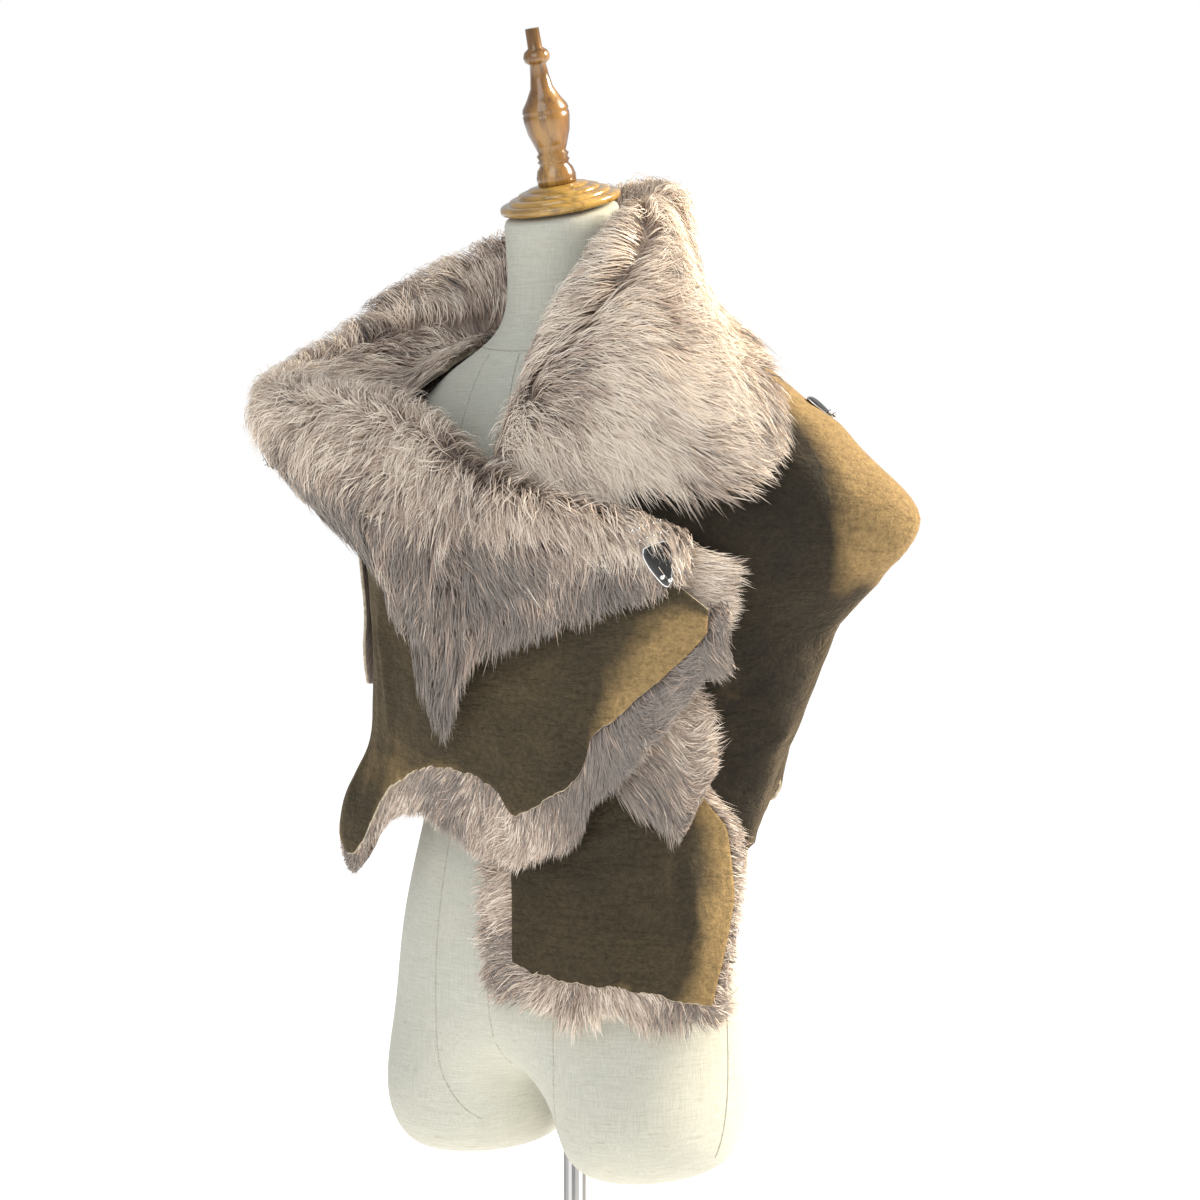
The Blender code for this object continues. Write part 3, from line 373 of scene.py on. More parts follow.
Front = namedtuple("Front", "bearing neck top bust rib waist hip hem")
RIGHT_FRONT = (
    Front(-80, (19.4, 130.0), (19.6, 124.0), (19.0, 119.0), (18.4, 113.0), (18.2, 107.0),
          (20.0, 100.0), (20.8, 90.0)),
    Front(-64, (17.4, 130.0), (18.3, 124.4), (17.8, 119.0), (17.2, 113.0), (17.4, 107.0),
          (20.0, 100.0), (20.8, 90.0)),
    Front(-50, (15.3, 132.5), (17.9, 124.4), (17.5, 119.0), (17.1, 113.0), (17.5, 106.5),
          (20.0, 100.0), (20.2, 90.0)),
    Front(-37, (14.2, 133.2), (17.3, 124.4), (17.1, 119.0), (16.8, 113.0), (16.8, 106.5),
          (18.1, 100.0), (18.5, 90.0)),
    Front(-24, (13.9, 132.0), (16.7, 124.4), (16.5, 119.0), (16.2, 113.0), (16.0, 106.5),
          (16.1, 100.0), (16.2, 90.0)),
    Front(-12, (14.0, 130.4), (16.2, 124.4), (16.1, 119.0), (15.9, 113.0), (15.7, 106.5),
          (15.6, 100.0), (15.7, 90.0)),
    Front(0, (14.6, 128.6), (15.9, 124.2), (15.9, 119.0), (15.7, 113.0), (15.4, 106.5),
          (15.3, 100.0), (15.4, 90.0)),
    Front(12, (15.4, 126.8), (15.9, 124.0), (16.0, 119.0), (15.9, 113.0), (15.6, 106.5),
          (15.4, 100.0), (15.5, 90.0)),
    Front(25, (16.4, 125.4), (16.6, 123.7), (16.8, 119.0), (16.8, 113.0), (16.4, 106.5),
          (16.2, 100.0), (16.2, 90.0)),
    Front(38, (17.7, 124.6), (17.9, 123.2), (18.1, 119.0), (18.1, 113.0), (17.6, 106.5),
          (17.4, 100.0), (17.4, 90.0)),
    Front(50, (19.3, 123.8), (19.6, 122.4), (19.8, 118.7), (19.6, 113.0), (19.1, 106.5),
          (18.8, 100.0), (18.8, 90.0)),
    Front(61, (21.2, 122.8), (21.5, 121.4), (21.6, 118.4), (21.3, 113.0), (20.6, 106.5),
          (20.2, 100.0), (20.2, 90.0)),
    Front(70, (23.2, 122.0), (23.4, 120.6), (23.2, 118.2), (22.8, 113.0), (22.0, 106.5),
          (21.6, 100.0), (21.6, 90.0)),
)
RIGHT_FRONT_TOP = (
    (-78, 122.6), (-62, 124.4), (-50, 129.0), (-38, 132.6), (-24, 131.9), (-12, 130.3), (0, 128.5),
    (12, 126.7), (25, 125.3), (38, 124.5), (50, 123.7), (58, 121.4), (65.5, 118.8),
)
RIGHT_FRONT_HEM = (
    (-78, 104.6), (-70, 100.0), (-62, 96.4), (-52, 99.8), (-44, 96.6), (-38, 98.3), (-32, 102.6),
    (-25, 104.0), (-16, 105.1), (-7, 105.4), (5, 105.0), (12.5, 104.2), (17, 102.8), (19.5, 101.6),
    (30, 103.4), (39, 105.2), (41.5, 107.2), (40.5, 108.4), (46, 109.6), (56, 113.0), (62.5, 115.4),
    (65.5, 117.0),
)
RIGHT_FRONT_INSIDE = ((-78, 122.6), (-78, 104.6))
RIGHT_FRONT_SIDE = ((65.5, 118.8), (65.5, 117.0))
RIGHT_FRINGE = (
    (-78, 1.0), (-52, 1.4), (-38, 1.6), (-30, 2.6), (-16, 4.2), (-7, 5.8), (5, 7.0), (14, 6.2),
    (20, 4.6), (30, 4.8), (42, 6.0), (50, 6.2), (58, 5.6), (65.5, 4.0),
)


Crease = namedtuple("Crease", "start end width rise")
RIGHT_FRONT_CREASES = (
    Crease((0.83, 0.94), (0.78, 0.62), 0.8, 0.30),
    Crease((0.79, 0.92), (0.70, 0.72), 0.8, 0.24),
    Crease((0.38, 0.72), (0.55, 0.86), 0.9, 0.34),
    Crease((0.42, 0.62), (0.52, 0.70), 0.8, 0.22),
    Crease((0.30, 0.40), (0.34, 0.90), 0.8, 0.40),
    Crease((0.25, 0.36), (0.28, 0.92), 0.8, 0.36),
    Crease((0.21, 0.50), (0.23, 0.95), 0.8, 0.36),
    Crease((0.95, 0.20), (0.86, 0.50), 0.7, 0.26),
    Crease((0.96, 0.40), (0.88, 0.72), 0.7, 0.26),
    Crease((0.91, 0.18), (0.80, 0.40), 0.8, 0.22),
    Crease((0.62, 0.62), (0.74, 0.58), 0.9, 0.20),
    Crease((0.64, 0.70), (0.66, 0.92), 0.9, 0.22),
)
LEFT_FRONT_CREASES = (
    Crease((0.30, 0.70), (0.55, 0.66), 0.6, 0.18),
    Crease((0.45, 0.76), (0.72, 0.70), 0.6, 0.18),
    Crease((0.72, 0.66), (0.78, 0.92), 0.8, 0.28),
    Crease((0.85, 0.62), (0.90, 0.93), 0.8, 0.28),
    Crease((0.12, 0.84), (0.34, 0.90), 0.8, 0.20),
    Crease((0.50, 0.82), (0.64, 0.92), 0.8, 0.20),
)
WING_CREASES = (
    Crease((0.60, 0.50), (0.86, 0.52), 0.9, 0.40),
    Crease((0.58, 0.565), (0.90, 0.575), 0.8, 0.44),
    Crease((0.62, 0.63), (0.88, 0.635), 0.8, 0.36),
    Crease((0.50, 0.60), (0.44, 0.96), 1.6, -0.40),
    Crease((0.66, 0.68), (0.62, 0.97), 1.5, 0.44),
    Crease((0.30, 0.62), (0.32, 0.92), 1.4, 0.36),
    Crease((0.52, 0.24), (0.60, 0.44), 1.3, 0.30),
)


def side_of(cuts, count, soften=0, waver=0.0):
    """Count places evenly spaced along one side of an outline, its corners softened a little."""
    line = evenly(np.array(cuts, float), 1, count)
    for _ in range(soften):
        line[1:-1] = (line[:-2] + 2 * line[1:-1] + line[2:]) / 4
    if waver:
        at = np.linspace(0, 1, count) * len(cuts)
        inner = np.minimum(1, 8 * np.minimum(at, at[::-1]) / len(cuts))
        waves = np.sin(5.1 * at) + 0.6 * np.sin(11.7 * at + 1) + 0.4 * np.sin(23.0 * at + 2)
        line[:, 1] += waver * inner * waves
    return line


def outline(top, hem, inside, side, across, down):
    """The (bearing, height) of a grid blended between four sides."""
    hem_points = side_of(hem, across, soften=across // 30 + 1, waver=0.09)
    top_points, left = side_of(top, across), side_of(inside, down)
    right = side_of(side, down, soften=2)
    u, v = np.linspace(0, 1, across)[:, None, None], np.linspace(0, 1, down)[None, :, None]
    return (
        (1 - u) * left[None] + u * right[None]
        + (1 - v) * top_points[:, None] + v * hem_points[:, None]
        - (1 - u) * (1 - v) * left[0] - (1 - u) * v * left[-1]
        - u * (1 - v) * right[0] - u * v * right[-1]
    )


def on_surface(table, flat):
    """A panel: the reach of a table's surface at each (bearing, height) of a grid."""
    low, high = flat.reshape(-1, 2).min(0), flat.reshape(-1, 2).max(0)
    bearings = np.linspace(low[0], high[0], 140)
    heights = np.linspace(low[1], high[1], 140)
    reach = np.array([np.interp(heights, section[::-1, 1], section[::-1, 0])
                      for section in sections(table, bearings, samples=61)])
    where = (flat - low) / (high - low)
    found = read(reach, where[..., 0], where[..., 1])
    return with_folds(np.stack([flat[..., 0], found, flat[..., 1]], axis=-1))


def fringed(flat, fringe, steps, before, after, side_steps):
    """A grid with a border of fur: rows below its hem, columns before and after its sides."""
    hem = flat[:, -1:]
    drop = straight(fringe, hem[:, 0, 0])[:, None] * np.linspace(0, 1, steps + 1)[None, 1:]
    border = np.concatenate([np.repeat(hem[..., :1], steps, axis=1),
                             hem[..., 1:] - drop[..., None]], axis=-1)
    flat = np.concatenate([flat, border], axis=1)
    parts = np.linspace(0, 1, side_steps + 1)[1:]
    if before:
        flat = np.concatenate([*[flat[:1] - (before * part, 0) for part in parts[::-1]], flat])
    if after:
        flat = np.concatenate([flat, *[flat[-1:] + (after * part, 0) for part in parts]])
    return flat


# %% [markdown]
# All skins are made the same way: two grids of points, the face and the back of the skin,
# joined round the rim. The mesh is filled from arrays, which is far quicker than adding faces
# one by one. The rim gets its own finish, because the cut edge of a hide shows pale.

# %% Making a skin
def mesh_of(points, loops, sizes):
    """A mesh from arrays: its points, the corners of all faces in a row, and each face's size."""
    mesh = bpy.data.meshes.new("cape")
    mesh.vertices.add(len(points))
    mesh.vertices.foreach_set("co", np.asarray(points, np.float32).ravel())
    mesh.loops.add(len(loops))
    mesh.loops.foreach_set("vertex_index", np.asarray(loops, np.int32))
    mesh.polygons.add(len(sizes))
    starts = np.concatenate([[0], np.cumsum(sizes)[:-1]])
    mesh.polygons.foreach_set("loop_start", starts.astype(np.int32))
    mesh.update(calc_edges=True)
    mesh.validate()
    mesh.shade_smooth()
    return mesh


def piece_of(name, mesh, *finishes):
    """A piece of the root body, made of a mesh and its finishes."""
    mesh.name = name
    for finish in finishes:
        mesh.materials.append(finish)
    piece = bpy.data.objects.new(name, mesh)
    bpy.context.scene.collection.objects.link(piece)
    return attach(piece, "root")


def from_bmesh(name, built, slot, *finishes):
    """A piece from a bmesh, which is freed. All its faces look outward."""
    bmesh.ops.recalc_face_normals(built, faces=built.faces)
    mesh = bpy.data.meshes.new(name)
    built.to_mesh(mesh)
    built.free()
    mesh.shade_smooth()
    piece = piece_of(name, mesh, *finishes)
    return piece


def band(built, one, two):
    """Adds the faces between two closed rings of as many points to a bmesh."""
    for k in range(len(one)):
        n = (k + 1) % len(one)
        built.faces.new((one[k], one[n], two[n], two[k]))


def laid_out(points):
    """How far across and how far down each point of a grid lies, in metres, for its pattern."""
    gone = np.cumsum(np.linalg.norm(np.diff(points, axis=1), axis=2), axis=1)
    down = np.concatenate([np.zeros((len(points), 1)), gone], axis=1)
    middle = points[:, points.shape[1] // 2]
    across = np.concatenate([[0], np.cumsum(np.linalg.norm(np.diff(middle, axis=0), axis=1))])
    return np.stack([np.broadcast_to(across[:, None], down.shape), down], axis=-1)


EDGE_WEAR = 0.24


def skin(name, face, back, finishes, worn_and_sunlit=None):
    """A closed skin between two grids. The finishes are those of its face, back and rim.

    The last argument gives, by u and v, where the nap is golden beside the edges, which always are
    worn golden. This golden is partly wear and partly painted sunlight.
    """
    a, b = face.shape[:2]
    index = np.arange(a * b).reshape(a, b)
    quads = np.stack([index[:-1, :-1], index[1:, :-1], index[1:, 1:], index[:-1, 1:]],
                     axis=-1).reshape(-1, 4)
    rim = np.concatenate([index[:, 0], index[-1, 1:], index[-2::-1, -1], index[0, -2:0:-1]])
    after = np.roll(rim, -1)
    edge = np.stack([rim, after, after + a * b, rim + a * b], axis=-1)
    corners = np.concatenate([quads, quads[:, ::-1] + a * b, edge]).ravel()
    mesh = mesh_of(np.concatenate([face.reshape(-1, 3), back.reshape(-1, 3)]), corners,
                   np.full(len(corners) // 4, 4))
    which = np.repeat([0, 1, 2], [len(quads), len(quads), len(edge)])
    mesh.polygons.foreach_set("material_index", which.astype(np.int32))
    flat = np.tile(laid_out(face).reshape(-1, 2), (2, 1))
    mesh.uv_layers.new(name="lie").data.foreach_set("uv", flat[corners].astype(np.float32).ravel())
    ends = np.minimum(np.arange(a), np.arange(a)[::-1])[:, None] * (1 / a)
    low = np.arange(b)[::-1][None, :] * (1 / b)
    near = EDGE_WEAR * np.exp(-np.minimum(ends * 22, low * 18))
    # The mask adds golden beyond the edges' wear, partly wear and partly painted sunlight.
    if worn_and_sunlit is not None:
        places = np.meshgrid(np.linspace(0, 1, a), np.linspace(0, 1, b), indexing="ij")
        near = np.maximum(near, worn_and_sunlit(*places))
    wear_and_painted_sun = mesh.attributes.new("wear_and_painted_sun", "FLOAT", "POINT")
    wear_and_painted_sun.data.foreach_set("value", np.tile(near.ravel(), 2).astype(np.float32))
    piece = piece_of(name, mesh, *finishes)
    made = bmesh.new()
    made.from_mesh(mesh)
    bmesh.ops.recalc_face_normals(made, faces=made.faces)
    made.to_mesh(mesh)
    made.free()
    return piece


def area_of(points):
    """The area of a grid of points, in square metres."""
    across, down = np.diff(points, axis=0)[:, :-1], np.diff(points, axis=1)[:-1]
    return float(np.linalg.norm(np.cross(across, down), axis=-1).sum())


def uneven(points, seed, size, depth):
    """Soft uneven rises and hollows over points, a sum of waves in random directions."""
    dice = np.random.default_rng(seed)
    total = np.zeros(points.shape[:-1])
    for _ in range(9):
        way = dice.normal(size=3)
        way *= 2 * math.pi / (size * dice.uniform(0.7, 1.6) * np.linalg.norm(way))
        total += np.sin(points @ way + dice.uniform(0, 2 * math.pi))
    return depth * total / 3


def creased(panel, creases, seed):
    """A panel with soft uneven creases, each from one (u, v) to another, in centimetres."""
    points = in_space(panel)
    rise = np.zeros(panel.shape[:2])
    for crease in creases:
        ends = read(points, *np.array([crease.start, crease.end], float).T)
        way = ends[1] - ends[0]
        part = np.clip((points - ends[0]) @ way / (way @ way), 0, 1)
        off = np.linalg.norm(points - ends[0] - part[..., None] * way, axis=-1)
        off /= crease.width * CM
        rise += crease.rise * np.exp(-off**2) * np.sin(math.pi * np.clip(part, 0.06, 0.94))
    return moved(panel, rise * (1 + uneven(points, seed, 0.03, 0.4)))


def rumpled(panel, seed, depth):
    """A panel with wide rises and hollows of a depth, and small ones, in centimetres."""
    points = in_space(panel)
    return moved(panel, 0.1 + uneven(points, seed, 0.10, depth)
                 + uneven(points, seed + 1, 0.03, 0.03))


# %% [markdown]
# Suede is hide with its nap brushed up. Its colour is a brown that turns to ochre where it is
# rubbed and where sunlight is painted on it, it has a fine grain with small veins, and it is matt
# with a soft sheen at glancing angles. All of this comes from noise nodes, so it needs no picture.

# %% The finishes
def finish(name, roughness, metallic=0.0, **sockets):
    """A new material, its node tree and its shader."""
    made = bpy.data.materials.new(name)
    made.use_nodes = True
    tree = made.node_tree
    shader = tree.nodes["Principled BSDF"]
    shader.inputs["Roughness"].default_value = roughness
    shader.inputs["Metallic"].default_value = metallic
    for socket, value in sockets.items():
        shader.inputs[socket.replace("_", " ")].default_value = value
    return made, tree, shader


def node(tree, kind, inputs=None, **settings):
    """A node of a kind. Its inputs are values, or sockets to link from."""
    made = tree.nodes.new(kind)
    for key, value in settings.items():
        setattr(made, key, value)
    for key, value in (inputs or {}).items():
        if isinstance(value, bpy.types.NodeSocket):
            tree.links.new(value, made.inputs[key])
        else:
            made.inputs[key].default_value = value
    return made


def noise(tree, where, scale, detail=4.0, roughness=0.55, stretch=None):
    """Noise at places, with its pattern pressed together by a stretch of x, y and z."""
    if stretch:
        pressed = node(tree, "ShaderNodeMapping", {"Vector": where, "Scale": stretch})
        where = pressed.outputs["Vector"]
    return node(tree, "ShaderNodeTexNoise", {"Vector": where, "Scale": scale, "Detail": detail,
                                             "Roughness": roughness}).outputs["Fac"]


def ramp(tree, value, *stops):
    """A value turned into a colour, or a grey, by (place, colour) stops."""
    made = node(tree, "ShaderNodeValToRGB", {"Fac": value})
    elements = made.color_ramp.elements
    while len(elements) < len(stops):
        elements.new(0.5)
    for element, (place, colour) in zip(elements, stops):
        element.position = place
        element.color = (*colour, 1) if hasattr(colour, "__len__") else (colour,) * 3 + (1,)
    return made.outputs["Color"]


def mixed(tree, share, one, other, blend="MIX"):
    """A share of the other colour mixed into one."""
    made = node(tree, "ShaderNodeMix", data_type="RGBA", blend_type=blend)
    for key, value in ((0, share), (6, one), (7, other)):
        if isinstance(value, bpy.types.NodeSocket):
            tree.links.new(value, made.inputs[key])
        else:
            made.inputs[key].default_value = (*value, 1) if hasattr(value, "__len__") else value
    return made.outputs[2]


def bumped(tree, shader, height, distance, strength=1.0):
    """Low relief from a height, whose full rise is a distance in metres."""
    made = node(tree, "ShaderNodeBump",
                {"Height": height, "Distance": distance, "Strength": strength})
    tree.links.new(made.outputs["Normal"], shader.inputs["Normal"])


def object_space(tree):
    """The places of a finish's pattern: the piece's own coordinates."""
    return node(tree, "ShaderNodeTexCoord").outputs["Object"]


def speckled(name, scale, low, high, roughness, metallic=0.0, **sockets):
    """A plain finish that varies a little, between two (place, colour) stops of a noise."""
    made, tree, shader = finish(name, roughness, metallic, **sockets)
    colour = ramp(tree, noise(tree, object_space(tree), scale), low, high)
    tree.links.new(colour, shader.inputs["Base Color"])
    return made


def make_suede(name, brown, dark, ochre):
    """Suede that is brown with darker clouds, and ochre where the skin is worn and where sunlight
    is painted on it.
    """
    made, tree, shader = finish(name, 0.84, Sheen_Weight=0.18, Sheen_Roughness=0.4,
                                Sheen_Tint=(0.80, 0.58, 0.30, 1), Specular_IOR_Level=0.22)
    where = object_space(tree)
    patches = noise(tree, where, 9, 4, 0.6)
    clouds = noise(tree, where, 13, 5, 0.6)
    specks = noise(tree, where, 230, 4, 0.75)
    nap = noise(tree, where, 620, 3, 0.7)
    wear_and_painted_sun = node(tree, "ShaderNodeAttribute", attribute_name="wear_and_painted_sun").outputs["Fac"]
    colour = mixed(tree, ramp(tree, clouds, (0.36, 0.85), (0.60, 0.0)), brown, dark)
    # The attribute is edge wear, and on some pieces painted sunlight too; where it and the patches
    # are high, the brown turns ochre.
    edge = node(tree, "ShaderNodeMath", {0: wear_and_painted_sun, 1: 0.62}, operation="MULTIPLY").outputs[0]
    both = node(tree, "ShaderNodeMath", {0: patches, 1: edge}, operation="ADD").outputs[0]
    colour = mixed(tree, ramp(tree, both, (0.66, 0.0), (1.12, 1.0)), colour, ochre)
    colour = mixed(tree, 1.0, colour, ramp(tree, specks, (0.30, 0.64), (0.70, 1.32)), "MULTIPLY")
    colour = mixed(tree, 1.0, colour, ramp(tree, nap, (0.3, 0.80), (0.7, 1.15)), "MULTIPLY")
    tree.links.new(colour, shader.inputs["Base Color"])
    cells = node(tree, "ShaderNodeTexVoronoi", {"Vector": where, "Scale": 95.0},
                 feature="DISTANCE_TO_EDGE").outputs["Distance"]
    creased = ramp(tree, noise(tree, where, 11, 3), (0.50, 0.0), (0.66, 0.8))
    height = mixed(tree, 0.35, specks, nap)
    height = mixed(tree, creased, height, ramp(tree, cells, (0.0, 0.0), (0.16, 1.0)))
    wrinkles = noise(tree, where, 1.0, 5, 0.6, (24, 24, 75))
    height = mixed(tree, 0.5, height, ramp(tree, wrinkles, (0.42, 0.0), (0.58, 1.0)))
    swells = noise(tree, where, 46, 4, 0.6)
    height = mixed(tree, 0.25, height, ramp(tree, swells, (0.3, 0.0), (0.7, 1.0)))
    bumped(tree, shader, height, 0.0032, 0.9)
    return made


# suede is the colour in the lamp's light. The two darker copies are painted shade: the first for
# the left front, the second and darkest for the wings and the back.
suede = make_suede("suede", (0.068, 0.052, 0.029), (0.043, 0.034, 0.0205), (0.29, 0.198, 0.088))
half_shaded_suede = make_suede(
    "half_shaded_suede", (0.055, 0.042, 0.0235), (0.034, 0.0275, 0.0170), (0.28, 0.190, 0.083))
shaded_suede = make_suede(
    "shaded_suede", (0.030, 0.0235, 0.0150), (0.0185, 0.0155, 0.0115), (0.27, 0.182, 0.080))
hide_back, tree, shader = finish("pressed_fleece", 0.9, Sheen_Weight=0.3)
where = node(tree, "ShaderNodeUVMap", uv_map="lie").outputs["UV"]
streaks = noise(tree, where, 1.0, 5, 0.6, (260, 24, 1))
tree.links.new(ramp(tree, streaks, (0.3, (0.12, 0.085, 0.065)), (0.55, (0.32, 0.25, 0.205)),
                    (0.8, (0.52, 0.43, 0.355))), shader.inputs["Base Color"])
bumped(tree, shader, streaks, 0.004)

cut_edge = speckled("cut_edge", 220, (0.3, (0.30, 0.24, 0.16)), (0.7, (0.62, 0.55, 0.43)), 0.8)
print("suede, its pressed fleece and its cut edge")

# %% [markdown]
# Fur is tens of thousands of fine strands. Each strand is a narrow tapered ribbon of two quads and
# a triangle, and all ribbons of one piece share one mesh. A strand's colour goes from a dark root
# to a pale tip. The colour is read from a map where u is the strand's tone, which on the collar
# holds painted light and shade too, and v runs from root to tip.

# %% The strands' finish
strands, tree, shader = finish("long_fur", 0.36, Specular_IOR_Level=0.5, Sheen_Weight=0.1)
where = node(tree, "ShaderNodeUVMap", uv_map="OFBake").outputs["UV"]
parts = node(tree, "ShaderNodeSeparateXYZ", {"Vector": where})
# Low tones take the cool grey ramp and high tones the cream one. Besides the strands' own spread of
# colour, the grey is painted shade on the collar's lower front and the cream painted sunlight on
# its lapel.
cool = ramp(tree, parts.outputs["Y"], (0.0, (0.050, 0.036, 0.028)), (0.35, (0.155, 0.128, 0.110)),
            (0.75, (0.25, 0.222, 0.200)), (1.0, (0.36, 0.33, 0.30)))
taupe = ramp(tree, parts.outputs["Y"], (0.0, (0.055, 0.034, 0.024)), (0.35, (0.27, 0.190, 0.146)),
             (0.75, (0.55, 0.420, 0.335)), (1.0, (0.73, 0.600, 0.495)))
cream = ramp(tree, parts.outputs["Y"], (0.0, (0.16, 0.110, 0.078)), (0.3, (0.56, 0.44, 0.345)),
             (0.65, (0.88, 0.77, 0.640)), (1.0, (0.97, 0.90, 0.800)))
lower = node(tree, "ShaderNodeMapRange", {"Value": parts.outputs["X"], "From Max": 0.5})
upper = node(tree, "ShaderNodeMapRange", {"Value": parts.outputs["X"], "From Min": 0.5})
darker = mixed(tree, lower.outputs["Result"], cool, taupe)
colour = mixed(tree, upper.outputs["Result"], darker, cream)
tree.links.new(colour, shader.inputs["Base Color"])
print("strands' finish")

# %% [markdown]
# The strands lie the way they were combed. At each place the comb gives a direction on the
# skin, and a guide strand follows it step by step. A lock is a handful of strands that start
# round one guide and close on it towards their tips.

# %% Laying a coat of fur
STRAND_WIDTHS = (0.8, 1.0, 0.75)
RIBBON = np.array([0, 1, 3, 2, 2, 3, 5, 4, 4, 5, 6])
RIBBON_HEIGHTS = np.array([0.02, 0.02, 0.35, 0.35, 0.7, 0.7, 0.98])
SHORTEST_STRAND, STEEPEST, THINNEST = 0.3, 0.05, 0.02
MARGIN = 0.03 * np.ptp(np.array(cad_box), axis=0) + 0.007
LOWEST, FURTHEST = np.array(cad_box[0]) - MARGIN, np.array(cad_box[1]) + MARGIN


def even(value):
    """A field that is the same everywhere."""
    return lambda u, v: np.full(u.shape, value)


def unit(ways):
    """Directions, each made as long as one."""
    return ways / (np.linalg.norm(ways, axis=-1, keepdims=True) + 1e-12)


def tangents(points):
    """The change of a grid's points for a whole run of u and of v."""
    a, b = points.shape[:2]
    return np.gradient(points, axis=0) * (a - 1), np.gradient(points, axis=1) * (b - 1)


def outward_of(panel, points):
    """The normals of a panel's grid, on its outer side."""
    normal = unit(np.cross(*tangents(points)))
    outer = in_space(moved(panel, 0.5)) - points
    return normal * np.sign((normal * outer).sum(-1, keepdims=True))


def run_at(field, u, v):
    """How long a whole run of u or v is at each place, in metres."""
    return np.maximum(np.linalg.norm(read(field, u, v), axis=-1), THINNEST)


def beyond(points, du, dv, u, v):
    """The points of a grid at u and v, carried straight on where these pass its border."""
    over_u, over_v = u - np.clip(u, 0, 1), v - np.clip(v, 0, 1)
    return read(points, u, v) + read(du, u, v) * over_u[:, None] + read(dv, u, v) * over_v[:, None]


def ribbons(rows, ways, roll, thick):
    """A mesh of tapered ribbons along four rows of points, rolled out of the skin's plane."""
    corners = []
    for k, share in enumerate(STRAND_WIDTHS):
        side = unit(np.cross(rows[k + 1] - rows[max(k - 1, 0)], ways[k]))
        turned = side * np.cos(roll)[:, None] + ways[k] * np.sin(roll)[:, None]
        step = turned * (thick * share)[:, None]
        corners += [rows[k] - step, rows[k] + step]
    corners.append(rows[3])
    loops = (np.arange(len(roll))[:, None] * 7 + RIBBON[None]).ravel()
    return mesh_of(np.stack(corners, axis=1).reshape(-1, 3), loops, np.tile([4, 4, 3], len(roll)))


